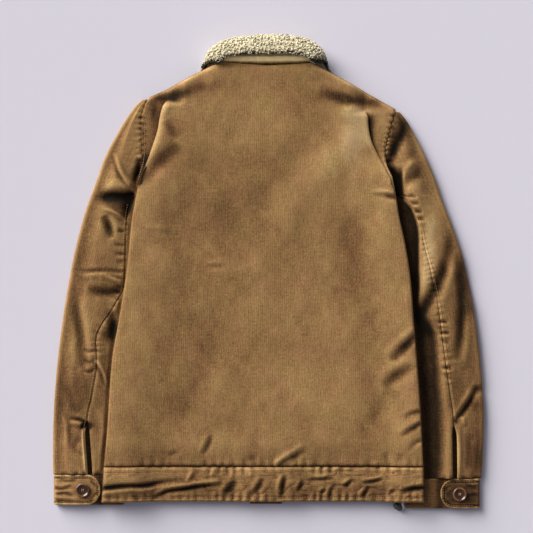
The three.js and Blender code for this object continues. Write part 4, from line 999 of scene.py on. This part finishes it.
def sleeveTone(side, upper, s, x, y):
    tone = patchTone(x, y, sleeveFolds["patches"][side])
    if side < 0:
        tone += patchTone(x, y, dents)
    tone += sleeveFolds["outerTone"][side] * bell(s - 1.05, 0.2) * upper
    toBody = side * (x - bodySeam[side](y))
    if side > 0:  # next to the body: painted shadow cast by the body's edge
        low, rise = lowStrip(side, y)
        lowDown = ramp(-50, -84, y)
        tone -= 0.44 * (1 - lowDown) * ramp(low + rise + 6, low - 4, toBody) * ramp(150, 112, y)
        tone -= lowDown * (0.05 + 0.44 * bell(toBody - 10, 10))
        tone -= 0.14 * lowDown * ramp(14, 24, toBody) * (not upper)
    else:
        # on the left, painted shade next to the body
        tone -= 0.08 * ramp(5, -2, toBody) * ramp(170, 120, y)
    atSlit = ramp(slitTopY[side] + 4, slitTopY[side] - 6, y) * upper
    seamTone, slitTone, width = sleeveFolds["seamTone"][side]
    return tone + (seamTone + slitTone * atSlit) * bell(s, width)


sleeveParts = {"upper": {"rows": 290, "steps": 44}, "under": {"rows": 220, "steps": 34}}
for side in bothSides:
    for part, counts in sleeveParts.items():
        upper = part == "upper"
        top = shoulderY[side] - 4 if upper else underarmY + (3 if side < 0 else 17)
        ys = np.linspace(top, cuffTopY[side] + seam, counts["rows"])
        s, y = np.meshgrid(across((0, 1, counts["steps"]), (1, 2, 10), (2, 3, 8)), ys)
        grid = tubeSurface(side, part, s, y)
        x, _, z = np.moveaxis(grid, 2, 0)
        wear = np.where(s > 1.4, 0.5, wearFrom(z, sleeveTone(side, upper, s, x, y)))
        uv = np.stack([arcLengths(grid, 1, counts["steps"]), y], -1)
        piece = shell(f"sleeve{sideTitle[side]}{part.capitalize()}Corduroy", grid,
                      sleeveFolds["thickness"], uv, corduroy, (counts["rows"] // 2, 3), wear=wear)
        finishPiece(piece, "corduroy", f"sleeve_{sideName[side]}_{part}")
print("sleeves made")


# Cuffs

cuffCloth = {
    "tipRadius": 20,
    "edgePuckers": 0.7,
    "topSteps": 40,  # the part of its route that lies on top, from the tab's tip to the outer roll
    "tone": {-1: -0.06, 1: -0.38},
    # the tab's paler edge: rubbed pile and painted highlight
    "rimTone": {-1: 0.34, 1: 0.56},
    "width": 44,
    "creases": {
        -1: [
            crease([(-318, -317), (-304, -319), (-288, -314)], 2.8, -2.4, lip=0.6, ends=(1, 0)),
            crease([(-314, -327), (-300, -325), (-286, -328)], 2.6, -2.0, lip=0.6),
            crease([(-308, -305), (-292, -307), (-280, -304)], 2.4, -1.6, lip=0.5),
            crease([(-316, -335), (-296, -336), (-276, -337)], 2.4, -1.8, lip=0.6, ends=(1, 0)),
            crease([(-262, -304), (-255, -312), (-250, -318)], 2.4, -2.0, lip=0.6),
            crease([(-262, -336), (-255, -328), (-250, -324)], 2.4, -1.4, lip=-0.6),
        ],
        1: [
            crease([(292, -330), (300, -327), (309, -328)], 2.6, -1.2, lip=0.6, ends=(0, 1)),
            crease([(290, -312), (300, -316), (310, -314)], 2.6, -1.2, lip=0.6),
            crease([(268, -312), (261, -318), (258, -324)], 2.4, -1.2, lip=0.6),
            crease([(268, -341), (261, -336), (257, -330)], 2.4, -1.2, lip=-0.6),
        ],
    },
}


def cuffRoute(side):
    # the middle line of the band from the tab's tip, round the sleeve, to its other end: x, z and the
    # direction in which its outer face looks
    top, bottom = cuffTopY[side] - seam, cuffHemY[side]
    outer = sleeveOuter[side](mix(top, bottom, 0.5)) - side * 0.6
    inner = sleeveInner[side](bottom) + side * 0.8
    flat = 2 * layers["cuff"] + layers["sleeveGap"]
    tab = flat + seam + 0.2
    rise = layers["cuff"] / 2
    outR, inR = (tab + 1) / 2, flat / 2
    outX, inX = outer - side * outR, inner + side * inR
    slitX = float(sleeveElbow[side](top))
    route = []

    def straight(startX, endX, steps, z, up):
        for t in steps:
            route.append((mix(startX, endX, t), z(t), 0, up))

    def turned(x, radius, way, angles):
        for angle in angles:
            c, s = math.cos(angle), math.sin(angle)
            route.append((x + way * (radius - rise) * c, radius + (radius - rise) * s, way * c, s))

    onTop = np.linspace(0, 1, cuffCloth["topSteps"])
    straight(tabEndX[side], outX, onTop, lambda t: mix(tab + rise, 2 * outR - rise, ramp(0.55, 1, t)), 1)
    turned(outX, outR, side, np.linspace(pi / 2, -pi / 2, 13)[1:])
    straight(outX, inX, np.linspace(0, 1, 16)[1:], lambda t: rise, -1)
    turned(inX, inR, -side, np.linspace(-pi / 2, pi / 2, 11)[1:])
    straight(inX, slitX + side * 14, np.linspace(0, 1, 18)[1:], lambda t: flat - rise, 1)
    return np.array(route, float)


def cuffSurface(side, k, v, sign):  # k is the place on the route, v from 0 at the hem to 1
    route = cuffRoute(side)
    i = np.clip(np.round(k).astype(int), 0, len(route) - 1)
    px, pz, nx, nz = (route[i, j] for j in range(4))
    top, bottom = cuffTopY[side] - seam, cuffHemY[side]
    tip = np.abs(px - tabEndX[side])
    onTab = np.where(k < cuffCloth["topSteps"], rolled(np.maximum(tip / cuffCloth["tipRadius"], 0.02)), 1)
    y = (top + bottom) / 2 + (v * 2 - 1) * (top - bottom) / 2 * onTab
    fromEdge = np.minimum(v, 1 - v) * (top - bottom) * onTab
    fromEdge = np.where(k < cuffCloth["topSteps"], np.minimum(fromEdge, tip), fromEdge)
    rim = rolled(fromEdge / 2.2, 0.02)
    lumps = 0.35 * softNoise(px, y, 12, 9, 51 + side)
    lumps += cuffCloth["edgePuckers"] * np.sin(px / 2.4 + y / 9) * np.exp(-fromEdge / 5)
    lumps += creaseHeight(px, y, cuffCloth["creases"][side]) - 0.9 * bell(fromEdge - 4.4, 1.2)
    onTop = (k < cuffCloth["topSteps"] + 2) & (sign > 0)
    depth = sign * layers["cuff"] / 2 * rim + np.where(onTop, lumps, 0) * rim
    return np.stack([px + nx * depth, y, pz + nz * depth], -1)


cuffVs = np.concatenate([[0, 0.01, 0.03, 0.06], np.linspace(0.1, 0.9, 26), [0.94, 0.97, 0.99, 1]])
for side in bothSides:
    k, v = np.meshgrid(np.arange(len(cuffRoute(side))), cuffVs)
    face, inside = cuffSurface(side, k, v, 1), cuffSurface(side, k, v, -1)
    uv = np.stack([face[..., 1], arcLengths(face, 1, 0)], -1)
    toTip = np.abs(face[..., 0] - tabEndX[side])
    fromTip = np.where(k < cuffCloth["topSteps"], toTip, cuffCloth["width"])
    rim = np.minimum(np.minimum(v, 1 - v) * cuffCloth["width"], fromTip)
    # the tab's edge is paler, rubbed and with painted highlight; its stitched groove gets painted shade; and
    # the cloth that it lies on is darkest next to it, painted shadow of the tab's tip
    tone = cuffCloth["tone"][side] + cuffCloth["rimTone"][side] * bell(rim, 2.6)
    tone = wearFrom(face[..., 2], tone - 0.3 * bell(rim - 4.4, 1.4) + 0.12 * bell(rim - 7, 1.2))
    tone = np.where(k < cuffCloth["topSteps"] + 4, tone, 0.5 - 0.36 * bell(toTip, 6))
    piece = wallMesh(f"cuff{sideTitle[side]}Corduroy", face, inside, uv, corduroy, wear=tone)
    finishPiece(piece, "corduroy", f"cuff_{sideName[side]}")
print("cuffs made")


# Collar stand

standHalf = 3.0
# share of its height, y and z
standRows = np.array([(0, neckY - 1.5, 22.0), (0.12, neckY + 2, 25.6), (0.35, neckY + 8, 27.2),
                      (0.6, neckY + 16, 20), (1, neckY + 21, 13.4)])


def standSurface(u, v, sign):
    y, z = (np.interp(v, standRows[:, 0], standRows[:, k]) for k in (1, 2))
    x = mix(neckLeft + 1, neckRight - 1, u) * mix(1, 0.93, v)
    dip = 2.5 * (2 * u - 1) ** 2 * (1 - v)
    depth = sign * standHalf * rolled(np.minimum(v, 1 - v) / 0.12, 0.3)
    ripple = 0.4 * np.sin(x / 3.1 + 1.5 * softNoise(x, y, 14, 30, 61)) * np.exp(-(y - neckY) / 5)
    return np.stack([x, y + 0.35 * depth + dip, z + depth + ripple * (sign > 0)], -1)


u, v = np.meshgrid(np.linspace(0, 1, 80), np.linspace(0, 1, 20))
face = standSurface(u, v, 1)
# painted shadow along the stand's lower edge, by the neck seam
stand = wallMesh("collarStandCorduroy", face, standSurface(u, v, -1), face[..., [1, 0]], standCloth,
                 wear=wearFrom(face[..., 2], 0.42) - 0.5 * ramp(0.17, 0.06, v))
finishPiece(stand, "corduroy", "collar_stand")


# Collar leaf, with its curls

fleeceCollar = {
    "half": 3.1,  # base cloth; the curls stand out from it to the solid's own surface
    "grainLength": 480, "grainWidth": 45,  # the leaf's size as its unevenness is counted
    "spacing": 4.1,  # between curls
    "hiddenSpacing": 5.6,  # between those on the leaves that lie underneath
    "curlLength": 640, "curlWidth": 46,  # the leaf's size as the curls are counted
    "curlRadius": 1.7,
    "strand": 1.0,
    "rings": 7, "sides": 5,
    # from the least to the most: size, half turns of its hook, and lean
    "sizes": (0.75, 1.35), "turns": (1.1, 1.9), "leans": (0.1, 0.9),
    "toneSpread": 0.13,
    "seed": 8,
}
# lines across the leaf, from its left point to its right one: x, y and z from the side that lies
# below, over the fold, to the edge that shows above the neck seam
leafRows = [
    [(-9, 244, 4.5), (-22, 226, 4.5), (-36, 205, 4.5), (-50, 184, 4.5)],
    [(-26, 250, 4.5), (-42, 237, 4.5), (-60, 222, 4.5), (-78, 208, 4.5)],
    [(-50, 268, 4.5), (-65, 262, 4.5), (-82, 256, 4.5), (-98, 250, 4.5)],
    [(-72, 292, 4.6), (-83, 289, 4.6), (-94, 285, 4.6), (-102, 281, 4.6)],
    [(-78, 305, 4.8), (-85, 303, 4.8), (-93, 299, 4.8), (-99, 293, 4.8)],
    [(-77, 319, 9), (-83, 319, 13), (-88, 314, 14), (-89, 307, 11)],
    [(-72, 326, 12), (-80, 326, 20), (-81, 319, 26.5), (-73, 308.5, 28.5)],
    [(-58, 334, 12), (-63, 336, 22), (-61, 327, 29.5), (-57, 315.5, 32.5)],
    [(-32, 338, 11.5), (-33, 342, 22), (-32, 331, 30.5), (-31, 318.5, 33.5)],
    [(0, 339, 11.5), (0, 344, 22), (0, 332, 30.5), (0, 319, 33.5)],
    [(34, 339, 11.5), (35, 342.5, 22), (34, 331.5, 30.5), (33, 319.5, 33.5)],
    [(55, 334, 12), (59, 336, 22), (57, 327.5, 29.5), (53, 316, 32.5)],
    [(65, 326, 12), (72, 326, 20), (74, 320, 26.5), (66, 308.5, 28.5)],
    [(70, 319, 9), (75, 319, 13), (80, 315, 14), (81.5, 308.7, 11)],
    [(68, 305, 4.8), (75, 303, 4.8), (84, 299, 4.8), (91, 293, 4.8)],
    [(66, 292, 4.6), (77, 289, 4.6), (87, 285, 4.6), (94, 281, 4.6)],
    [(44, 268, 4.5), (60, 262, 4.5), (77, 256, 4.5), (93, 250, 4.5)],
    [(20, 250, 4.5), (37, 237, 4.5), (55, 222, 4.5), (73, 208, 4.5)],
    [(2, 244, 4.5), (15, 226, 4.5), (29, 205, 4.5), (43, 184, 4.5)],
]


def leafCentre(u, v):
    controls = np.array(leafRows, float)
    lines = [catmull(controls[:, k], u * (len(leafRows) - 1)) for k in range(4)]
    stack = np.stack([2 * lines[0] - lines[1]] + lines + [2 * lines[3] - lines[2]])
    i = np.clip(np.floor(v * 3).astype(int), 0, 2)
    near = [np.take_along_axis(stack, (i + k)[None, ..., None], 0)[0] for k in range(4)]
    return spline(*near, (v * 3 - i)[..., None])


def leafNormal(u, v):
    e = 0.004
    du = leafCentre(np.minimum(u + e, 1), v) - leafCentre(np.maximum(u - e, 0), v)
    dv = leafCentre(u, np.minimum(v + e, 1)) - leafCentre(u, np.maximum(v - e, 0))
    return -unit(np.cross(du, dv))


def leafNoise(u, v, size, seed):
    return softNoise(u * fleeceCollar["grainLength"], v * fleeceCollar["grainWidth"], size, size, seed)


def leafSurface(u, v, sign):
    rim = rolled(np.minimum(np.minimum(v, 1 - v) / 0.1, np.minimum(u, 1 - u) / 0.012), 0.05)
    depth = sign * (fleeceCollar["half"] + 0.5 * leafNoise(u, v, 5, 71)) * rim
    at = leafCentre(u, v) + leafNormal(u, v) * depth[..., None]
    at[..., 2] = np.maximum(at[..., 2], 0.05)
    return at


def endShade(u, v):  # the leaf's lower edge is dark with shade, most of all at the neck's two ends
    atLeft, atRight = ramp(0.35, 0.31, u) * ramp(0.23, 0.25, u), ramp(0.64, 0.68, u) * ramp(0.77, 0.75, u)
    return 0.4 * ramp(0.84, 0.98, v) + 0.8 * np.maximum(atLeft, atRight) * ramp(0.74, 0.92, v)


u, v = np.meshgrid(np.linspace(0, 1, 240), np.linspace(0, 1, 40))
face = leafSurface(u, v, 1)
# the base cloth's tone is set a little below the curls': painted shade between them
leaf = wallMesh("collarFleeceBase", face, leafSurface(u, v, -1), face[..., :2], fleeceCurl,
                tone=0.4 + 0.15 * leafNoise(u, v, 4, 73) - endShade(u, v))
finishPiece(leaf, "fleece", "collar_fleece")


def curlMesh(name, places, normals, tones, look, seed):
    # each curl is a short strand bent into a hook that stands on the cloth, all in one mesh
    rng = np.random.default_rng(seed)
    count, rings, sides = len(places), look["rings"], look["sides"]
    spin = rng.uniform(0, 2 * pi, count)[:, None]
    size = look["curlRadius"] * rng.uniform(*look["sizes"], count)[:, None]
    turn = rng.uniform(*look["turns"], count)[:, None] * pi
    lean = rng.uniform(*look["leans"], count)[:, None]
    tangent = unit(np.cross(normals, np.where(np.abs(normals[:, 2:3]) < 0.9, [[0, 0, 1.0]], [[1.0, 0, 0]])))
    first = tangent * np.cos(spin) + np.cross(normals, tangent) * np.sin(spin)
    side = np.cross(normals, first)
    upward = normals * np.cos(lean) + side * np.sin(lean)
    s = np.linspace(0, 1, rings)
    angle, radius = s * turn, size * (1 - 0.25 * s)
    line = (places[:, None]
            + first[:, None] * (radius * np.cos(angle))[..., None]
            + upward[:, None] * (radius * np.sin(angle) * 0.75 + 0.35 * size)[..., None]
            + side[:, None] * ((s - 0.5) * 1.2 * size)[..., None])
    along = unit(np.gradient(line, axis=1))
    b1 = unit(np.cross(along, np.broadcast_to(side[:, None], along.shape)))
    b2 = np.cross(along, b1)
    thick = look["strand"] * (0.55 + 0.45 * np.sin(pi * np.clip(s * 0.9 + 0.05, 0, 1)))
    thick = (thick * rng.uniform(0.8, 1.2, count)[:, None])[..., None]
    around = np.arange(sides) * 2 * pi / sides
    points = (line[:, :, None]
              + b1[:, :, None] * (np.cos(around) * thick)[..., None]
              + b2[:, :, None] * (np.sin(around) * thick)[..., None]).reshape(-1, 3)
    points[:, 2] = np.maximum(points[:, 2], 0.03)
    base = (np.arange(count) * rings * sides)[:, None, None]
    *quads, start, end = strandFaces(rings, sides, 0)
    quads, caps = (base + np.array(quads)).reshape(-1, 4), (base + np.array([start, end])).reshape(-1, sides)
    # each curl is paler at its middle, the top of its hook, and darker at its ends by the cloth: painted
    # highlight and shade
    lift = np.repeat(tones, rings * sides).reshape(count, rings, sides) + 0.16 * np.sin(pi * s)[None, :, None]
    return addPiece(name, points, quads.tolist() + caps.tolist(), [fleeceCurl], {"tone": lift})


def curlPlaces(uLow, uHigh, spacing, seed):
    rng = np.random.default_rng(seed)
    length = fleeceCollar["curlLength"]
    nu, nv = int((uHigh - uLow) * length / spacing), int(fleeceCollar["curlWidth"] / spacing)
    u, v = np.meshgrid(np.linspace(uLow, uHigh, nu), np.linspace(0.0, 1.0, nv))
    u = np.clip(u + rng.uniform(-0.5, 0.5, u.shape) * spacing / length, 0, 1).ravel()
    v = np.clip(v + rng.uniform(-0.5, 0.5, v.shape) / nv, 0, 1).ravel()
    tones = np.clip(rng.normal(0.5, fleeceCollar["toneSpread"], u.size), 0, 1)
    return leafSurface(u, v, 1), leafNormal(u, v), tones - endShade(u, v)


showing = (4.2 / 18, 13.8 / 18)  # the stretch of the leaf that lies on top
curlRuns = [
    ("collarCurlsBackLeft", showing[0], 0.5, "spacing"),
    ("collarCurlsBackRight", 0.5, showing[1], "spacing"),
    ("collarCurlsFrontLeft", 0.004, showing[0], "hiddenSpacing"),
    ("collarCurlsFrontRight", showing[1], 0.996, "hiddenSpacing"),
]
for k, (name, low, high, gap) in enumerate(curlRuns):
    places = curlPlaces(low, high, fleeceCollar[gap], fleeceCollar["seed"] + k)
    finishPiece(curlMesh(name, *places, fleeceCollar, fleeceCollar["seed"] + 10 + k), "fleece")
    print(name, len(places[0]))
print("collar made")


# Buttons and cord stop

buttonShape = {
    "profile": [(0, 0), (8.2, 0), (9.8, 0.9), (10.3, 1.9), (10.2, 2.7), (9.6, 3.25), (8.9, 3.4), (8.2, 3.2),
                (7.6, 2.4), (6.6, 1.75), (4.8, 1.45), (2.6, 1.4), (0, 1.4)],
    "segments": 56,
    "darkRadius": 7.4,  # its hollow middle, inside the raised rim, in the darker horn as painted shade
    "lift": 0.5,  # above the tab
    "threadRadius": 0.32,
}
cordStop = {
    "profile": [(0, -6.5), (2.6, -6.45), (3.6, -6.2), (4.5, -5.2), (5.0, -3.4), (5.2, -1.2), (5.2, 1.2),
                (5.0, 3.4), (4.6, 4.6), (3.9, 4.9), (3.9, 5.9), (3.5, 6.4), (2.4, 6.5), (0, 6.5)],
    "segments": 32,
    "at": (191, -345.2, 5.3), "turn": 62, "tilt": 6,
    "cordFrom": (198.4, -347.6, 5.6), "cordWay": (-0.12, 1, 0.1), "cordLength": 15.0, "cordRadius": 2.3,
}


def turnedShape(profile, segments):  # points and faces of a shape turned about Z
    radius, z = np.array(profile, float).T[..., None]
    angles = np.arange(segments) * 2 * pi / segments
    points = np.stack([radius * np.cos(angles), radius * np.sin(angles), z + 0 * angles], -1)
    return points.reshape(-1, 3), ringQuads(len(profile), segments)


def strandMesh(name, lines, radius, sides, material):  # closed round strands along lines of points
    points, faces = [], []
    for line in lines:
        line = np.array(line, float)
        tangent = unit(np.gradient(line, axis=0))
        side = unit(np.cross(tangent, [0.13, 0.21, 0.97]))
        other = np.cross(tangent, side)
        faces += strandFaces(len(line), sides, len(points) * sides)
        around = (np.arange(sides) * 2 * pi / sides)[:, None]
        for p, a, b in zip(line, side, other):
            points.append(p + radius * (np.cos(around) * a + np.sin(around) * b))
    return addPiece(name, np.concatenate(points), faces, [material])


buttonZ = 3 * layers["cuff"] + layers["sleeveGap"] + seam + 0.2 + buttonShape["lift"]
for side in bothSides:
    bx, by = buttonAt[side]
    points, faces = turnedShape(buttonShape["profile"], buttonShape["segments"])
    name = f"button{sideTitle[side]}"
    piece = addPiece(name + "Horn", points + (bx, by, buttonZ), faces, [horn, hornDark])
    for face in piece.data.polygons:
        fromMiddle = (face.center - Vector((bx, by, 0)) * mm).xy.length
        face.material_index = int(fromMiddle < buttonShape["darkRadius"] * mm)
    finishPiece(piece, "button", f"button_{sideName[side]}")
    strands = [[(bx + offset + twin, by + 2 * t, buttonZ + 1.75 + 0.55 * math.cos(t * pi / 2))
                for t in np.linspace(-1, 1, 9)] for offset in (-1.1, 1.1) for twin in (-0.25, 0.25)]
    finishPiece(strandMesh(name + "Thread", strands, buttonShape["threadRadius"], 6, thread), "button")

points, faces = turnedShape(cordStop["profile"], cordStop["segments"])
turn, tilt = math.radians(cordStop["turn"]), math.radians(cordStop["tilt"])
# its axis is laid along Y, turned about Z, tilted about X and set in place
x, y, z = points[:, 0], points[:, 2], -points[:, 1]
x, y = x * math.cos(turn) - y * math.sin(turn), x * math.sin(turn) + y * math.cos(turn)
y, z = y * math.cos(tilt) - z * math.sin(tilt), y * math.sin(tilt) + z * math.cos(tilt)
stop = addPiece("cordStopBarrel", np.stack([x, y, z], -1) + cordStop["at"], faces, [stopPlastic])
finishPiece(stop, "cord_stop", "hem_cord_stop")
t = np.linspace(0, cordStop["cordLength"], 8)[:, None]
cordLine = np.array(cordStop["cordFrom"]) + t * cordStop["cordWay"]
finishPiece(strandMesh("cordStopCordEnd", [cordLine], cordStop["cordRadius"], 12, cordBraid), "cord_stop")
print("buttons and cord stop made")


# Stitching

stitchLook = {
    "length": 2.6, "gap": 1.2, "width": 0.42, "height": 0.28, "shortest": 0.5,
    "bandRows": (7, 45),  # above the band's lower fold
    "armholeRows": (0.011, 0.992),  # shares of the back's width
    "cuffInset": 0.1,  # share of the cuff's width
    "besideSeam": 3.2,
}


def stitchMesh(name, lines):  # a row of short raised stitches along each line of points
    points, faces = [], []
    for line in lines:
        travel = np.concatenate([[0], np.cumsum(np.linalg.norm(np.diff(line, axis=0), axis=1))])
        stitch = stitchLook["length"]
        for start in np.arange(0, travel[-1] - stitch, stitch + stitchLook["gap"]):
            ends = np.array([[np.interp(at, travel, line[:, k]) for k in range(3)]
                             for at in (start, start + stitch)])
            length = np.linalg.norm(ends[1] - ends[0])
            if length < stitchLook["shortest"]:
                continue
            along = (ends[1] - ends[0]) / length
            side = unit(np.cross(along, [0, 0, 1]))
            up = np.cross(side, along)
            faces += strandFaces(4, 4, len(points))
            for t, k in ((0, 0.35), (0.2, 1), (0.8, 1), (1, 0.35)):
                centre = ends[0] + along * length * t + up * (0.1 if 0 < t < 1 else -0.15)
                wide, tall = side * stitchLook["width"] * k, up * stitchLook["height"] * k
                points += [centre + wide, centre + tall, centre - wide, centre - tall]
    finishPiece(addPiece(name, np.array(points), faces, [thread]), "corduroy")


def lineOn(surface, a, b, lift=0.25):
    points = surface(np.asarray(a, float), np.asarray(b, float))
    points[..., 2] += lift
    return points


t = np.linspace(0.004, 0.996, 500)
stitchMesh("hemBandStitches", [lineOn(bandSurface, t, 0 * t + height) for height in stitchLook["bandRows"]])
v = np.linspace(0.77, 0.985, 120)
stitchMesh("armholeStitches", [lineOn(backSurface, 0 * v + share, v) for share in stitchLook["armholeRows"]])
k, tip, inset = np.arange(2, 39, dtype=float), np.linspace(0.12, 0.88, 20), stitchLook["cuffInset"]
for side in bothSides:
    onCuff = lambda a, b: cuffSurface(side, a, b, 1)
    rows = [lineOn(onCuff, k, 0 * k + inset), lineOn(onCuff, k, 0 * k + 1 - inset),
            lineOn(onCuff, 0 * tip + 3, tip)]
    stitchMesh(f"cuff{sideTitle[side]}Stitches", rows)
    y = np.linspace(100, cuffTopY[side] + 6, 300)
    x = topSeam(side, y) + side * (stitchLook["besideSeam"] + slitHalf(side, y))
    line = np.stack([x, y, sleeveTop(side, x, y) + 0.2], -1)
    stitchMesh(f"sleeve{sideTitle[side]}Stitches", [line])
print("stitching made")


# Cloth sizes: none are listed

print("no cloth sizes listed")


# Floor, light, camera

studio = {
    "floor": "#d9d7e3", "floorHalf": 6000, "floorZ": -0.4,
    # lamps: direction they shine from, power, width in degrees and colour
    "keyLight": ((-3.0, 2.5, 3.0), 1.5, 38.0, "#fffaf2"),
    "softLight": ((-3.0, 2.9, 1.2), 3.5, 50.0, "#fffbf6"),
    "lowLight": ((-2.6, 3.2, 0.66), 2.8, 48.0, "#fffbf6"),
    "world": 0.275, "worldTint": "#dedeec",
    "pictureSize": 533, "pixel": 0.00147, "centre": (-0.00294, 0.00882),
    "cameraHeight": 2.6, "sensor": 36.0,
    "middleHeight": 0.012,  # the height on the jacket at which a pixel is exactly its size
}

floorMaterial, tree = newMaterial("paperMattePale")  # matte backdrop paper: even, no shine
addSurface(tree, {"Base Color": linear(studio["floor"]), "Roughness": 1.0, "Specular IOR Level": 0.0})
half, z = studio["floorHalf"], studio["floorZ"]
corners = np.array([(-half, -half, z), (half, -half, z), (half, half, z), (-half, half, z)])
floorPiece = addPiece("floor", corners, [(0, 1, 2, 3)], [floorMaterial])

for name in ("keyLight", "softLight", "lowLight"):  # big lamps far off, as even as the photo's light
    towards, power, spread, colour = studio[name]
    light = bpy.data.lights.new(name, "SUN")
    light.energy, light.angle, light.color = power, math.radians(spread), linear(colour)[:3]
    lamp = bpy.data.objects.new(name, light)
    lamp.location = towards
    lamp.rotation_euler = (-Vector(towards)).to_track_quat("-Z", "Y").to_euler()
    bpy.context.scene.collection.objects.link(lamp)

world = bpy.data.worlds.new("softRoom")
world.use_nodes = True
world.node_tree.nodes["Background"].inputs["Color"].default_value = linear(studio["worldTint"])
world.node_tree.nodes["Background"].inputs["Strength"].default_value = studio["world"]
bpy.context.scene.world = world

cameraData = bpy.data.cameras.new("camera")
cameraData.sensor_width = studio["sensor"]
distance = studio["cameraHeight"] - studio["middleHeight"]
cameraData.lens = studio["sensor"] * distance / (studio["pictureSize"] * studio["pixel"])
cameraData.clip_end = 20
camera = bpy.data.objects.new("camera", cameraData)
camera.location = (*studio["centre"], studio["cameraHeight"])
bpy.context.scene.collection.objects.link(camera)
bpy.context.scene.camera = camera
bpy.context.scene.view_settings.view_transform = "Standard"
print("floor, light and camera set")
